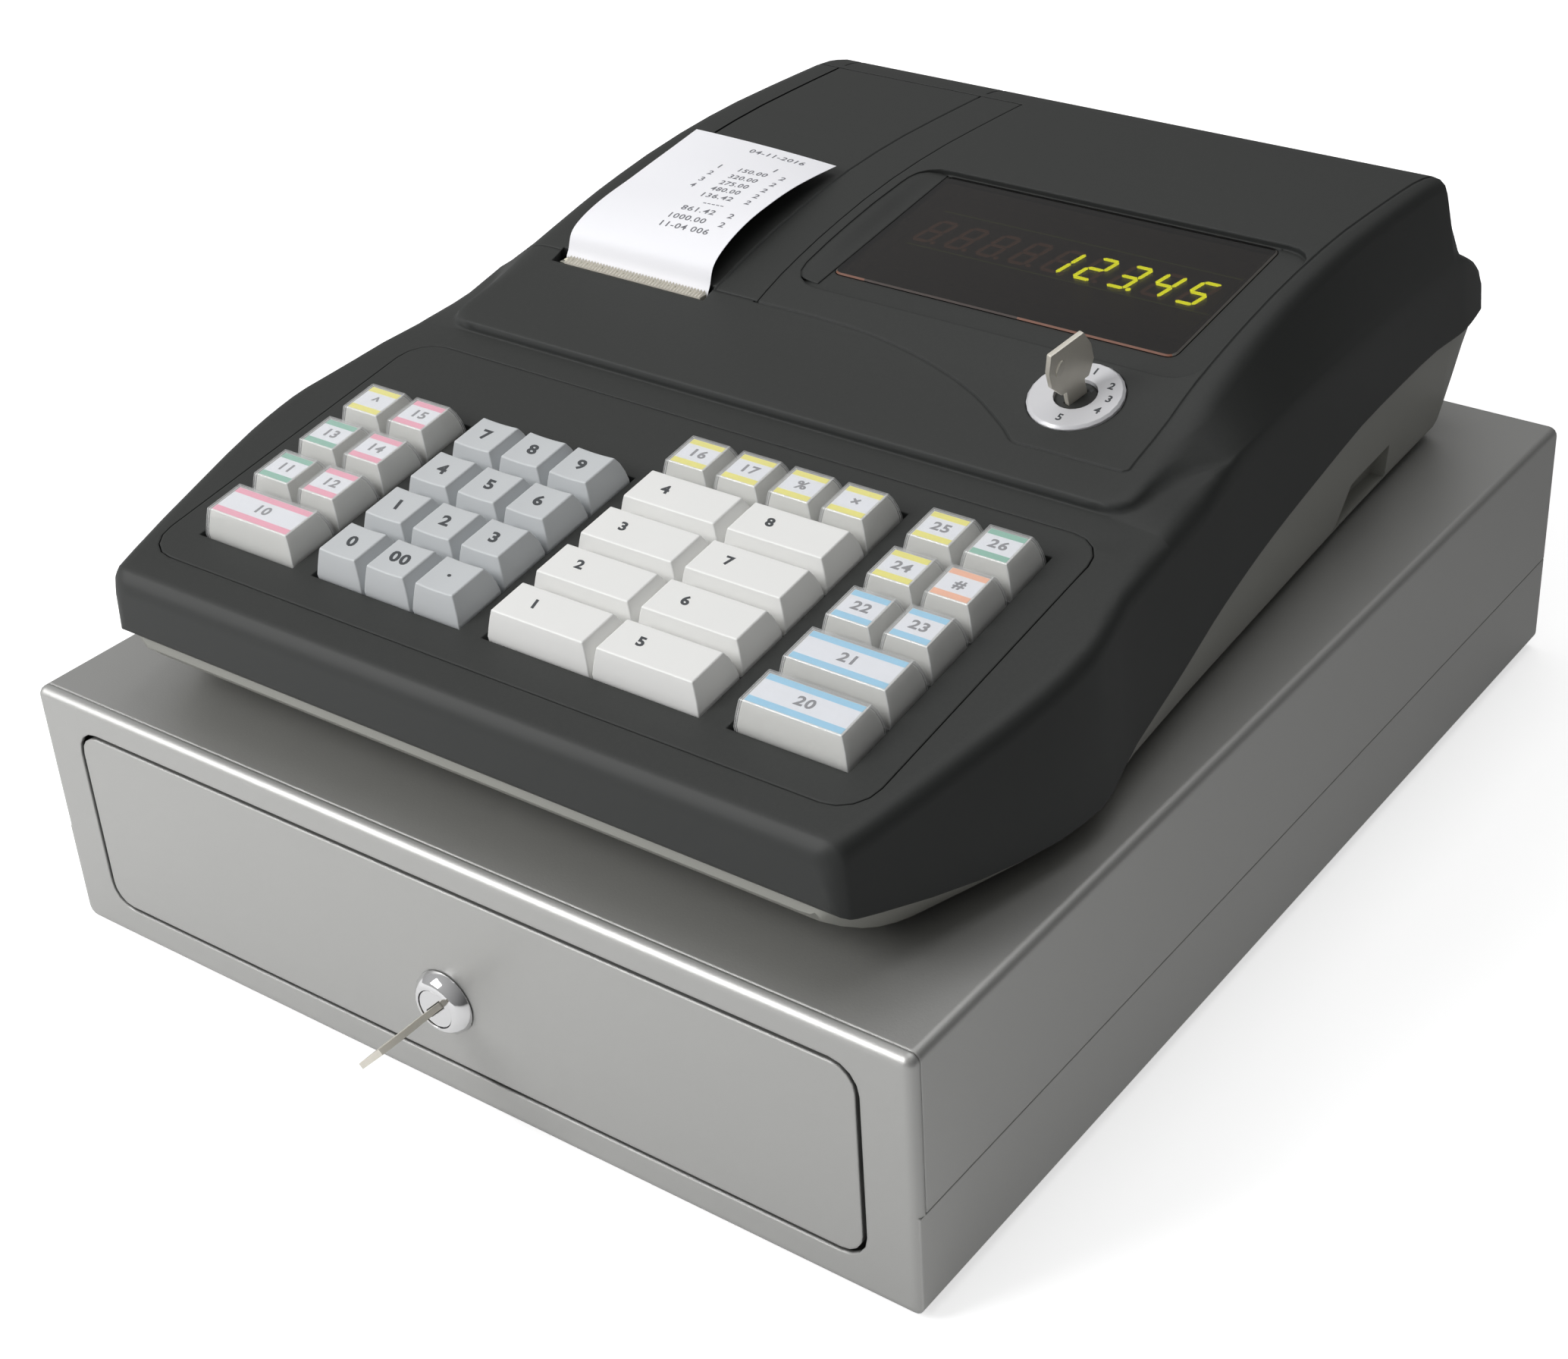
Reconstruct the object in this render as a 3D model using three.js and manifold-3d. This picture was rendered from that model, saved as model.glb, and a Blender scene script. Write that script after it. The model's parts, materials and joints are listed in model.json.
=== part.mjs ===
// Ticket register: an electronic cash register with a receipt printer, standing on a steel cash drawer.
// Millimetres. X to the right, Y from the front to the back, Z up; Z is 0 where the cabinet's feet stand.
import * as THREE from 'three';
import { mergeVertices } from 'three/addons/utils/BufferGeometryUtils.js';
import Module from 'manifold-3d';

const wasm = await Module();
wasm.setup();

// General clearances
const overrun = 1;
const seatGap = 0.3;
const restGap = 0.05;
const curveSteps = 4;
const leastStep = 0.001;

// Steel cabinet
const cabinetWidth = 320;
const cabinetDepth = 393.4;
const cabinetHeight = 85.1;
const sheet = 1.2;
const cabinetEdgeRadius = 3;
const footHeight = 3;
const footRadius = 13;
const footInset = 34;
const seamHeight = 33.5;
const frameRimDepth = 3.6;
const jogglingDepth = 7;
const jogglingOverlap = 9;

// Drawer opening, drawer box and runners
const frameSideBorder = 16.1;
const frameTopBorder = 9.1;
const openingWidth = cabinetWidth - 2 * frameSideBorder;
const openingBottom = 11;
const openingTop = cabinetHeight - frameTopBorder;
const openingRadius = 9;
const drawerGap = 2;
const drawerRimDepth = 9;
const drawerBoxInset = 6.7;
const drawerBoxHalfWidth = openingWidth / 2 - drawerBoxInset;
const drawerBoxBottom = 14;
const drawerHeadroom = 20;
const drawerBoxTop = openingTop - drawerHeadroom;
const drawerFrontWallRise = 4;
const drawerFrontWallTop = drawerBoxTop + drawerFrontWallRise;
const drawerRearRoom = 21.4;
const drawerBoxBack = cabinetDepth - drawerRearRoom;
const runnerLip = 6.1;
const runnerGap = 0.4;
const runnerSideGap = 1;
const runnerReach = 11.3;
const runnerStart = 12;
const runnerRearRoom = 13.4;
const runnerEnd = cabinetDepth - runnerRearRoom;

// Cash insert
const insertGap = 0.6;
const insertFront = 34;
const insertRearRoom = 26.8;
const insertDepth = drawerBoxBack - sheet - insertRearRoom - insertFront;
const insertSink = 1;
const insertTop = drawerBoxTop - insertSink;
const insertWall = 2.4;
const coinColumns = 4;
const coinRows = 2;
const coinRowDepth = 54;
const coinScoopRadius = 22;
const noteBays = 3;
const clipHubRadius = 3.6;
const clipPinRadius = 1.5;
const clipPinLength = 2.6;
const clipHubHalfLength = 7;
const clipLugThickness = 4;
const clipHubDrop = 8;
const clipHubSetback = 7;
const clipArmLength = 70;
const clipArmWidth = 12;
const clipArmThickness = 2.4;
const clipShoeLength = 16;
const clipShoeWidth = 26;
const clipRestLift = 0.6;

// Drawer lock
const drawerLockHeight = 34.5;
const bezelRadius = 10.2;
const bezelRise = 4.6;
const bezelFaceRadius = 6.9;
const bezelDomeShares = [[0.4, 0.8], [0.1, 0.42]];
const barrelRadius = 7.8;
const barrelLength = 21;
const plugRadius = 6;
const lockNutRadius = 11.5;
const lockNutThickness = 3.6;
const plugFaceInset = 0.3;
const camThickness = 2;
const camLength = 42;
const camHalfWidth = 5;
const camGap = 4;
const strikeHalfWidth = 24;
const strikeLipDrop = 6;
const strikeGap = 0.8;
const keyThickness = 1.9;
const drawerKeyReach = 29.5;
const drawerKeyTurn = Math.PI / 4;
const keyBladeWidth = 7.4;
const keyBladeDepth = 11;
const keyBowLength = 15.4;
const keyBowWidth = 16.8;
const keyShoulderWidth = 11;
const keyTopWidth = 13;
const roundSides = 24;

// Register: plan, profile and lower edge as shares of its depth, half width and height
const registerSetback = 12.4;
const registerDepth = 382.6;
const registerHalfWidth = 147.6;
const registerHeight = 96.1;
const housingWall = 2.5;
const sideDraftShare = 0.073;
const frontRoll = 6.5;
const frontCornerRadius = 5;
const lowerEdgeRadius = 3;
const foldSoftness = 6;
const humpSoftness = 5;
const footSoftness = 2;
const shoulderStep = 1;
const consoleFront = 155;
const consoleLipRadius = 2;
const consoleCornerRadius = 9;
const planWidthShares = [[0, 0.883], [0.093, 0.941], [0.2185, 0.998], [0.24, 1], [0.302, 0.977], [0.386, 0.96],
  [0.469, 0.944], [0.595, 0.923], [0.752, 0.896], [0.9085, 0.8726], [1, 0.861]];
const topProfileShares = [[0.378, 0.722], [0.4615, 0.794], [0.5165, 0.868], [0.595, 0.9386], [0.6785, 0.984],
  [0.762, 1], [0.8876, 0.992], [0.926, 0.967], [0.932, 0.883], [0.9425, 0.774], [0.9477, 0.691], [0.982, 0.602],
  [0.9974, 0.556], [1, 0.51]];
const foldHeightShares = [[0.323, 0.654], [0.386, 0.665], [0.4276, 0.6785], [0.469, 0.7107], [0.49, 0.717],
  [0.752, 0.6805], [0.9242, 0.6545], [0.9477, 0.65], [0.982, 0.562], [1, 0.48]];
const lowerEdgeShares = [[0, 0.234], [0.0193, 0.2133], [0.0617, 0.1727], [0.119, 0.128], [0.1976, 0.0999],
  [0.2394, 0.1009], [0.2776, 0.1394], [0.365, 0.2112], [0.472, 0.3143], [0.5504, 0.362], [0.647, 0.3954],
  [0.741, 0.4173], [0.8667, 0.412], [0.963, 0.3777], [1, 0.385]];
const humpWidthShares = [[0.378, 0.857], [0.49, 0.84], [0.926, 0.8347], [0.9477, 0.8347], [0.97, 0.845], [1, 0.85]];
const shoulderStartShare = 0.378;
const shoulderEndShare = 0.477;
const outerStationShares = [0.009, 0.032, 0.072, 0.114, 0.156, 0.19, 0.21, 0.225, 0.24, 0.255, 0.277, 0.302, 0.335,
  0.366, 0.3785, 0.386, 0.397, 0.412, 0.4325, 0.4535, 0.4745, 0.495, 0.5165, 0.543, 0.57, 0.6, 0.6367, 0.6785,
  0.72, 0.762, 0.81, 0.85, 0.8876, 0.908, 0.92, 0.926, 0.9285, 0.932, 0.937, 0.9425, 0.9477, 0.9575, 0.97, 0.982,
  0.99, 0.9974, 1];
const innerStationShares = [0.0095, 0.03, 0.125, 0.24, 0.366, 0.3795, 0.386, 0.412, 0.477, 0.5295, 0.57, 0.635, 0.71,
  0.7517, 0.8876, 0.911, 0.919, 0.93, 0.94, 0.9555, 0.982, 0.992];
const bayShortShare = 0.15;

// Keyboard deck and its insert
const deckStart = 41.1;
const deckSlopeShare = 0.16;
const insertHalfWidth = 128;
const insertStart = 25.8;
const insertEnd = 146;
const insertRadius = 11;
const insertEdgeGap = 0.4;
const insertPlate = 1.5;
const ledgeWidth = 4;
const ledgeDepth = 4;

// Keys
const keyPitchX = 18.6;
const keyPitchY = 19.15;
const keyWidth = 17.6;
const keyDepth = 17.7;
const keyRise = 8.5;
const keySkirt = 3;
const keySideInset = 1.9;
const keyFrontInset = 2.1;
const keyBackInset = 2.2;
const keyWall = 1.3;
const keyRoof = 1.8;
const keyTravel = 3.5;
const stemWidth = 4.6;
const stemGap = 0.35;
const stemReach = 12.5;
const wellDepth = 8;
const wellMargin = 1.2;
const wellWall = 1.5;
const firstRow = 38.8;
const functionBlockLeft = -115.7;
const numberBlockLeft = -69.7;
const departmentBlockLeft = -4.5;
const paymentBlockLeft = 80;
const keySlopeShares = [[0, 0, 0, 0], [0.35, 0.27, 0.35, 0.12], [0.7, 0.62, 0.7, 0.45], [1, 1, 1, 1]];

// Receipt printer: cover, bay, mechanism and paper
const coverLeftGap = 0.4;
const coverRight = -31.5;
const coverFront = 197.4;
const coverSideDrop = 21.2;
const coverSideHeight = registerHeight - coverSideDrop;
const hingeY = 345;
const hingeDrop = 9.2;
const hingeZ = registerHeight - hingeDrop;
const hingeSweepRadius = 10.8;
const hingePinRadius = 2;
const hingeEarThickness = 3;
const hingeEarHalfDepth = 4;
const hingePostThickness = 2.5;
const bayLeft = -120.4;
const bayWall = 2.5;
const bayFront = 178;
const bayBack = 356.5;
const bayFloor = 25.4;
const bayOverlap = 5;
const bayMiddle = 47;
const slotLeft = -113;
const slotRight = -49.5;
const slotFront = 192.4;
const slotBack = 199;
const tearBarLeft = -109.5;
const tearBarRight = -51.4;
const tearBarThickness = 2.6;
const tearBarDrop = 17.4;
const tearBarTop = registerHeight - tearBarDrop;
const tearTeeth = 19;
const tearToothHeight = 1;
const mechanismLeft = -114;
const mechanismRight = -46.5;
const mechanismFront = 182;
const mechanismBack = 224;
const mechanismDrop = 16.7;
const mechanismTop = tearBarTop - mechanismDrop;
const platenRadius = 5.5;
const platenY = 207;
const platenDrop = 14.7;
const platenZ = tearBarTop - platenDrop;
const mechanismCheek = 3;
const rollHeadroom = 13.9;
const rollRadius = (registerHeight - housingWall - bayFloor - seatGap - rollHeadroom) / 2;
const rollCoreRadius = 6.25;
const rollY = 300;
const paperLeft = -110.3;
const paperRight = -51.1;
const paperThickness = 0.3;
const paperStartDrop = 4.7;
const paperStart = tearBarTop - paperStartDrop;
const paperOffset = 1.3;
const paperPathShares = [[0, 0], [0.004, 0.14], [0.022, 0.24], [0.06, 0.482], [0.166, 0.668], [0.315, 0.814],
  [0.485, 0.907], [0.654, 0.968], [0.82, 0.992], [1, 1]];
const paperRun = 71;
const paperRise = 24.7;

// Display
const displaySlopeShare = 0.149;
const displayFront = 219.5;
const displaySink = 1.92;
const windowLeft = -18.6;
const windowRight = 105;
const windowLength = 67.2;
const windowThickness = 2.4;
const windowRadius = 3;
const windowProud = 0.6;
const wellFrontMargin = 11;
const wellSideMargin = 9.1;
const wellRightMargin = 12.5;
const wellBackMargin = 0.6;
const displayWellRadius = 10;
const displayTrayDepth = 9;
const displayTrayWall = 2.5;
const digitRecessDepth = 4.5;
const digitRecessInset = 3;

// Control lock
const controlLockX = 88;
const controlLockY = 193;
const ringRadius = 14.7;
const ringRise = 1.6;
const ringChamfer = 0.8;
const ringSeatDepth = 0.5;
const rotorRadius = 6.35;
const rotorRecess = 1.2;
const controlBarrelRadius = 8.6;
const controlBarrelLength = 15;
const controlKeyTurn = (74 * Math.PI) / 180;
const controlKeyShoulder = 5.2;

// Grey base under the housing
const baseFront = 15;
const baseBack = 391;
const baseStandoff = 1.9;
const baseWall = 2.2;
const baseStrip = 1.2;
const baseInset = 6.8;
const baseCornerRadius = 8;
const baseFloorSoftness = 4;
const baseNoseDepth = 19;
const baseNoseHeight = 16.5;
const baseTailStart = 367.7;
const baseTailSlopeShare = 1.2;
const basePadRadius = 9;
const basePadX = 108;
const basePadFront = 112;
const basePadBack = 340;
const recessFront = 280;
const recessBack = 322;
const recessSlant = 10;
const recessBottom = 4.6;
const recessTop = 16.9;
const recessDepth = 5;
const baseStationShares = [0, 0.002, 0.006, 0.013, 0.021, 0.032, 0.042, 0.0506, 0.1, 0.15, 0.19, 0.232, 0.245, 0.27,
  0.32, 0.37, 0.42, 0.475, 0.55, 0.65, 0.75, 0.85, 0.9375, 0.945, 0.965, 0.985, 1];
const baseInnerStationShares = [0.0075, 0.014, 0.025, 0.0372, 0.0506, 0.15, 0.232, 0.25, 0.36, 0.475, 0.55, 0.65, 0.75,
  0.85, 0.931, 0.945, 0.97, 0.9938];

// Finishes
const finish = (color, roughness, metalness) => new THREE.MeshStandardMaterial({ color, roughness, metalness });
const paintedSteel = finish(0x9b9b96, 0.45, 0.3);
const darkPlastic = finish(0x2c2c2c, 0.7, 0);
const greyPlastic = finish(0x8a8a84, 0.6, 0);
const trayPlastic = finish(0x1f1f1f, 0.6, 0);
const numberKeyPlastic = finish(0xc9ccce, 0.55, 0);
const paleKeyPlastic = finish(0xebebe8, 0.5, 0);
const silverPlastic = finish(0xdcdce0, 0.35, 0.1);
const chrome = finish(0xe0e0e0, 0.08, 1);
const keySteel = finish(0xb8b2a4, 0.3, 1);
const smokedAcrylic = finish(0x2b2825, 0.1, 0);
const zincSteel = finish(0xa8a89c, 0.4, 0.9);
const paperWhite = finish(0xf7f7fb, 0.9, 0);

// Turns a geometry into a solid that can be cut and joined
function solidOf(geometry) {
  const bare = geometry.clone();
  bare.deleteAttribute('normal');
  bare.deleteAttribute('uv');
  const merged = mergeVertices(bare);
  const position = merged.attributes.position;
  const corners = Array.from(merged.index.array);
  const kept = [];
  let volume = 0;
  for (let i = 0; i < corners.length; i += 3) {
    const face = corners.slice(i, i + 3);
    if (new Set(face).size < 3) continue;
    const [a, b, c] = face.map((corner) => new THREE.Vector3().fromBufferAttribute(position, corner));
    volume += a.dot(b.cross(c));
    kept.push(...face);
  }
  return new wasm.Manifold(new wasm.Mesh({
    numProp: 3,
    vertProperties: Float32Array.from(position.array),
    triVerts: Uint32Array.from(volume > 0 ? kept : kept.reverse()),
  }));
}

// Turns a solid back into a geometry for a mesh
function geometryOf(solid) {
  const mesh = solid.getMesh();
  const count = mesh.vertProperties.length / mesh.numProp;
  const position = new Float32Array(count * 3);
  for (let i = 0; i < count; i += 1) {
    for (let k = 0; k < 3; k += 1) position[i * 3 + k] = mesh.vertProperties[i * mesh.numProp + k];
  }
  const geometry = new THREE.BufferGeometry();
  geometry.setAttribute('position', new THREE.BufferAttribute(position, 3));
  geometry.setIndex(new THREE.BufferAttribute(Uint32Array.from(mesh.triVerts), 1));
  geometry.computeVertexNormals();
  return geometry;
}

const join = (solids) => solids.reduce((all, next) => all.add(next));
const cut = (solid, cutters) => cutters.reduce((left, cutter) => left.subtract(cutter), solid);

// A straight-sided block between two corners
function block(x0, x1, y0, y1, z0, z1, place) {
  const geometry = new THREE.BoxGeometry(x1 - x0, y1 - y0, z1 - z0);
  geometry.translate((x0 + x1) / 2, (y0 + y1) / 2, (z0 + z1) / 2);
  if (place) geometry.applyMatrix4(place);
  return solidOf(geometry);
}

// The three directions that a flat outline can be extruded in
const alongX = new THREE.Matrix4().makeBasis(
  new THREE.Vector3(0, 1, 0), new THREE.Vector3(0, 0, 1), new THREE.Vector3(1, 0, 0));
const alongY = new THREE.Matrix4().makeBasis(
  new THREE.Vector3(1, 0, 0), new THREE.Vector3(0, 0, 1), new THREE.Vector3(0, -1, 0));
const alongZ = new THREE.Matrix4();

// Extrudes a closed outline of [u, v] points from one place to another along an axis
function prism(outline, axis, from, to, place) {
  const points = outline.map(([u, v]) => new THREE.Vector2(u, v));
  const apart = points.filter((point, i) => point.distanceTo(points.at(i - 1)) > leastStep);
  const shape = new THREE.Shape(apart);
  const geometry = new THREE.ExtrudeGeometry(shape, { depth: to - from, bevelEnabled: false });
  if (axis === alongY) geometry.translate(0, 0, -to);
  else geometry.translate(0, 0, from);
  geometry.applyMatrix4(axis);
  if (place) geometry.applyMatrix4(place);
  return solidOf(geometry);
}

// A round bar along an axis, centred on [u, v]
function rod(axis, radius, from, to, [u, v], sides = roundSides, place = undefined) {
  const outline = [];
  for (let i = 0; i < sides; i += 1) {
    const angle = ((i + 0.5) / sides) * 2 * Math.PI;
    outline.push([u + radius * Math.cos(angle), v + radius * Math.sin(angle)]);
  }
  return prism(outline, axis, from, to, place);
}

// A turned solid from a closed profile of [radius, height] points, its axis along +Y
function turned(profile, sides = roundSides) {
  const points = profile.map(([r, h]) => new THREE.Vector2(r, h));
  points.push(points[0].clone());
  return new THREE.LatheGeometry(points, sides);
}

// A rectangle with round corners
function roundedRectangle(x0, x1, y0, y1, radius, steps = curveSteps) {
  const corners = [[x1 - radius, y0 + radius, -0.5], [x1 - radius, y1 - radius, 0],
    [x0 + radius, y1 - radius, 0.5], [x0 + radius, y0 + radius, 1]];
  const outline = [];
  for (const [cx, cy, start] of corners) {
    for (let i = 0; i <= steps; i += 1) {
      const angle = (start + (0.5 * i) / steps) * Math.PI;
      outline.push([cx + radius * Math.cos(angle), cy + radius * Math.sin(angle)]);
    }
  }
  return outline;
}

// A closed skin over rings of points; each ring is its own mirror image, so ladders of faces close its ends
function skin(rings) {
  const count = rings[0].length;
  const last = (rings.length - 1) * count;
  const index = [];
  for (let start = 0; start < last; start += count) {
    for (let i = 0; i < count; i += 1) {
      const [a, b] = [start + i, start + (i + 1) % count];
      index.push(a, b, a + count, b, b + count, a + count);
    }
  }
  for (let i = 0; i + 1 < count / 2; i += 1) {
    const [a, b, c, d] = [i, i + 1, count - 2 - i, count - 1 - i];
    index.push(b, a, d, b, d, c);
    index.push(last + a, last + b, last + d, last + b, last + c, last + d);
  }
  const geometry = new THREE.BufferGeometry();
  geometry.setAttribute('position', new THREE.BufferAttribute(Float32Array.from(rings.flat(2)), 3));
  geometry.setIndex(index);
  return solidOf(geometry);
}

// A smooth curve through [share, share] points that never overshoots between them
function curveThrough(points) {
  const slopes = points.slice(1).map(([t, v], i) => (v - points[i][1]) / (t - points[i][0]));
  const tangents = points.map((_, i) => {
    const before = slopes[Math.max(i - 1, 0)];
    const after = slopes[Math.min(i, slopes.length - 1)];
    return before * after <= 0 ? 0 : (2 * before * after) / (before + after);
  });
  return (t) => {
    if (t <= points[0][0]) return points[0][1];
    if (t >= points[points.length - 1][0]) return points[points.length - 1][1];
    const i = points.findIndex(([share]) => share > t) - 1;
    const span = points[i + 1][0] - points[i][0];
    const u = (t - points[i][0]) / span;
    const start = (1 + 2 * u) * (1 - u) * (1 - u) * points[i][1] + u * (1 - u) * (1 - u) * span * tangents[i];
    const end = u * u * (3 - 2 * u) * points[i + 1][1] + u * u * (u - 1) * span * tangents[i + 1];
    return start + end;
  };
}

// How far a rounded edge stands back at a distance from its start
function roundingDrop(distance, radius) {
  if (distance >= radius) return 0;
  const reach = radius - Math.max(distance, 0);
  return radius - Math.sqrt(radius * radius - reach * reach);
}

const mix = (a, b, share) => a.map((value, i) => value + (b[i] - value) * share);

// Replaces a corner of an outline by a soft curve
function softCorner(before, corner, after, softness, steps) {
  const longestShare = 0.45;
  const along = (end) => {
    const length = Math.hypot(end[0] - corner[0], end[1] - corner[1]);
    return mix(corner, end, Math.min(softness / length, longestShare));
  };
  const [start, end] = [along(before), along(after)];
  const points = [];
  for (let i = 0; i <= steps; i += 1) {
    const u = i / steps;
    points.push(mix(mix(start, corner, u), mix(corner, end, u), u));
  }
  return points;
}

// Heights and half widths of the register along its depth; its Z is 0 on the cabinet's top
const shareAt = (y) => (y - registerSetback) / registerDepth;
const yAt = (share) => registerSetback + share * registerDepth;
const planWidthCurve = curveThrough(planWidthShares);
const topProfileCurve = curveThrough(topProfileShares);
const foldHeightCurve = curveThrough(foldHeightShares);
const lowerEdgeCurve = curveThrough(lowerEdgeShares);
const humpWidthCurve = curveThrough(humpWidthShares);

const deckAt = (y) => deckStart + deckSlopeShare * y;
const fromFront = (y) => y - registerSetback;
const foldWidthAt = (y) => registerHalfWidth * planWidthCurve(shareAt(y))
  - roundingDrop(fromFront(y), frontCornerRadius);
const consoleTopAt = (y) => registerHeight * topProfileCurve(shareAt(y))
  - roundingDrop(y - consoleFront, consoleLipRadius);
const topAt = (y) => (y < consoleFront
  ? deckAt(y) - roundingDrop(fromFront(y), frontRoll)
  : consoleTopAt(y));
const foldAt = (y) => Math.min(deckAt(y) - roundingDrop(fromFront(y), frontRoll),
  registerHeight * foldHeightCurve(shareAt(y)));
const lowerEdgeAt = (y) => registerHeight * lowerEdgeCurve(shareAt(y)) + roundingDrop(fromFront(y), lowerEdgeRadius);
const lowerWidthAt = (y) => foldWidthAt(y) + sideDraftShare * (foldAt(y) - lowerEdgeAt(y));
const humpWidthAt = (y) => registerHalfWidth * humpWidthCurve(shareAt(y))
  - roundingDrop(Math.max(y - consoleFront, 0), consoleCornerRadius);

// The four corners of the right half of the housing's section: lower edge, fold, shoulder foot and hump edge
function housingCorners(y) {
  const lower = [lowerWidthAt(y), lowerEdgeAt(y)];
  const fold = [foldWidthAt(y), foldAt(y)];
  const hump = [humpWidthAt(y), topAt(y)];
  const leanShare = 0.15;
  const onDeck = [hump[0] + shoulderStep, Math.min(deckAt(y), topAt(y))];
  const onLean = mix(fold, hump, leanShare);
  const raw = (shareAt(y) - shoulderStartShare) / (shoulderEndShare - shoulderStartShare);
  const share = Math.min(Math.max(raw, 0), 1);
  return [lower, fold, mix(onDeck, onLean, share * share), hump];
}

// A section's right half and its mirror image, closed along the bottom
const mirrored = (half) => [...half, ...half.map(([x, z]) => [-x, z]).reverse()];

function housingSection(y) {
  const [lower, fold, foot, hump] = housingCorners(y);
  const middle = [0, hump[1]];
  return mirrored([
    lower,
    ...softCorner(lower, fold, foot, foldSoftness, curveSteps),
    ...softCorner(fold, foot, hump, footSoftness, curveSteps / 2),
    ...softCorner(foot, hump, middle, humpSoftness, curveSteps - 1),
  ]);
}

// The section of the housing's inside, one wall in from the outside in every direction
function housingInnerSection(y) {
  const near = [y - housingWall, y, y + housingWall].map(housingCorners);
  const least = (corner, axis) => Math.min(...near.map((corners) => corners[corner][axis])) - housingWall;
  return mirrored([
    [least(0, 0), Math.min(...near.map((corners) => corners[0][1])) - overrun],
    [least(1, 0), least(1, 1)],
    [least(2, 0), least(2, 1)],
    [least(3, 0), least(3, 1)],
  ]);
}

const loftAlongY = (stations, section) => skin(stations.map((y) => section(y).map(([x, z]) => [x, y, z])));

const frontStations = [0, 0.05, 0.2, 0.45, 0.75].map((share) => registerSetback + share * frontRoll);
const consoleStations = [consoleFront - restGap, consoleFront, consoleFront + consoleLipRadius / 3];
const outerStations = [...frontStations, ...outerStationShares.map(yAt), ...consoleStations]
  .sort((a, b) => a - b);
const housingOuter = loftAlongY(outerStations, housingSection);
const housingInner = loftAlongY(innerStationShares.map(yAt), housingInnerSection);

// Frames of the turned sub-assemblies
const tilted = (slope, y, z) => new THREE.Matrix4().makeTranslation(0, y, z)
  .multiply(new THREE.Matrix4().makeRotationX(Math.atan(slope)));
const deckFrame = tilted(deckSlopeShare, 0, deckStart);
const displayFrame = tilted(displaySlopeShare, displayFront, topAt(displayFront) - displaySink);
const lockSlope = (topAt(controlLockY + ringRadius) - topAt(controlLockY - ringRadius)) / (2 * ringRadius);
const lockFrame = tilted(lockSlope, controlLockY, topAt(controlLockY))
  .multiply(new THREE.Matrix4().makeTranslation(controlLockX, 0, 0));

// Key blocks: each row runs from left to right, each block from front to back
const keyBlocks = [
  { left: functionBlockLeft,
    columns: 2,
    rows: [['clear'], ['paid_out', 'void'], ['received', 'return'], ['feed', 'correct']] },
  { left: numberBlockLeft,
    columns: 3,
    rows: [['digit_0', 'digit_00', 'point'], ['digit_1', 'digit_2', 'digit_3'], ['digit_4', 'digit_5', 'digit_6'],
      ['digit_7', 'digit_8', 'digit_9']] },
  { left: departmentBlockLeft,
    columns: 4,
    rows: [['dept_1', 'dept_5'], ['dept_2', 'dept_6'], ['dept_3', 'dept_7'], ['dept_4', 'dept_8'],
      ['lookup', 'clerk', 'percent', 'multiply']] },
  { left: paymentBlockLeft,
    columns: 2,
    rows: [['cash'], ['subtotal'], ['cheque', 'card'], ['receipt_issue', 'number'], ['receipt_switch', 'currency']] },
];
const keySpan = (columns) => (columns - 1) * keyPitchX + keyWidth;
const keyPlaces = keyBlocks.flatMap(({ left, columns, rows }) => rows.flatMap((names, row) => {
  const span = columns / names.length;
  return names.map((name, i) => ({
    name,
    span,
    x: left + i * span * keyPitchX + keySpan(span) / 2,
    y: firstRow + row * keyPitchY + keyDepth / 2,
  }));
}));

// A hollow key cap with a stem; its Z is 0 on the deck, its back bulges and its sides are nearly straight
function keyCap(span) {
  const half = keySpan(span) / 2;
  const ring = (z, side, front, back) => [[-half + side, -keyDepth / 2 + front, z],
    [half - side, -keyDepth / 2 + front, z], [half - side, keyDepth / 2 - back, z],
    [-half + side, keyDepth / 2 - back, z]];
  const rings = [ring(-keySkirt, 0, 0, 0)];
  for (const [rise, side, front, back] of keySlopeShares) {
    rings.push(ring(rise * keyRise, side * keySideInset, front * keyFrontInset, back * keyBackInset));
  }
  const topInset = keySideInset + keyWall;
  const cavity = [ring(-keySkirt - overrun, keyWall, keyWall, keyWall),
    ring(keyRise - keyRoof, topInset, topInset, topInset)];
  const stem = block(-stemWidth / 2, stemWidth / 2, -stemWidth / 2, stemWidth / 2, -stemReach, keyRise - keyRoof / 2);
  return cut(skin(rings), [skin(cavity)]).add(stem);
}

// The insert that carries the keys: a plate with a well for each block and a guide hole for each stem
function keyboardInsert() {
  const wells = keyBlocks.map(({ left, columns, rows }) => (margin, bottom, top) => block(
    left - margin, left + keySpan(columns) + margin, firstRow - margin,
    firstRow + (rows.length - 1) * keyPitchY + keyDepth + margin, bottom, top));
  const plate = prism(roundedRectangle(-insertHalfWidth, insertHalfWidth, insertStart, insertEnd, insertRadius),
    alongZ, -insertPlate, 0);
  const tubs = wells.map((well) => well(wellMargin + wellWall, -wellDepth - wellWall, -insertPlate / 2));
  const hollows = wells.map((well) => well(wellMargin, -wellDepth, overrun));
  const hole = stemWidth / 2 + stemGap;
  const guides = keyPlaces.map(({ x, y }) => block(
    x - hole, x + hole, y - hole, y + hole, -wellDepth - wellWall - overrun, -wellDepth + overrun));
  return cut(join([plate, ...tubs]), [...hollows, ...guides]);
}

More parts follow.
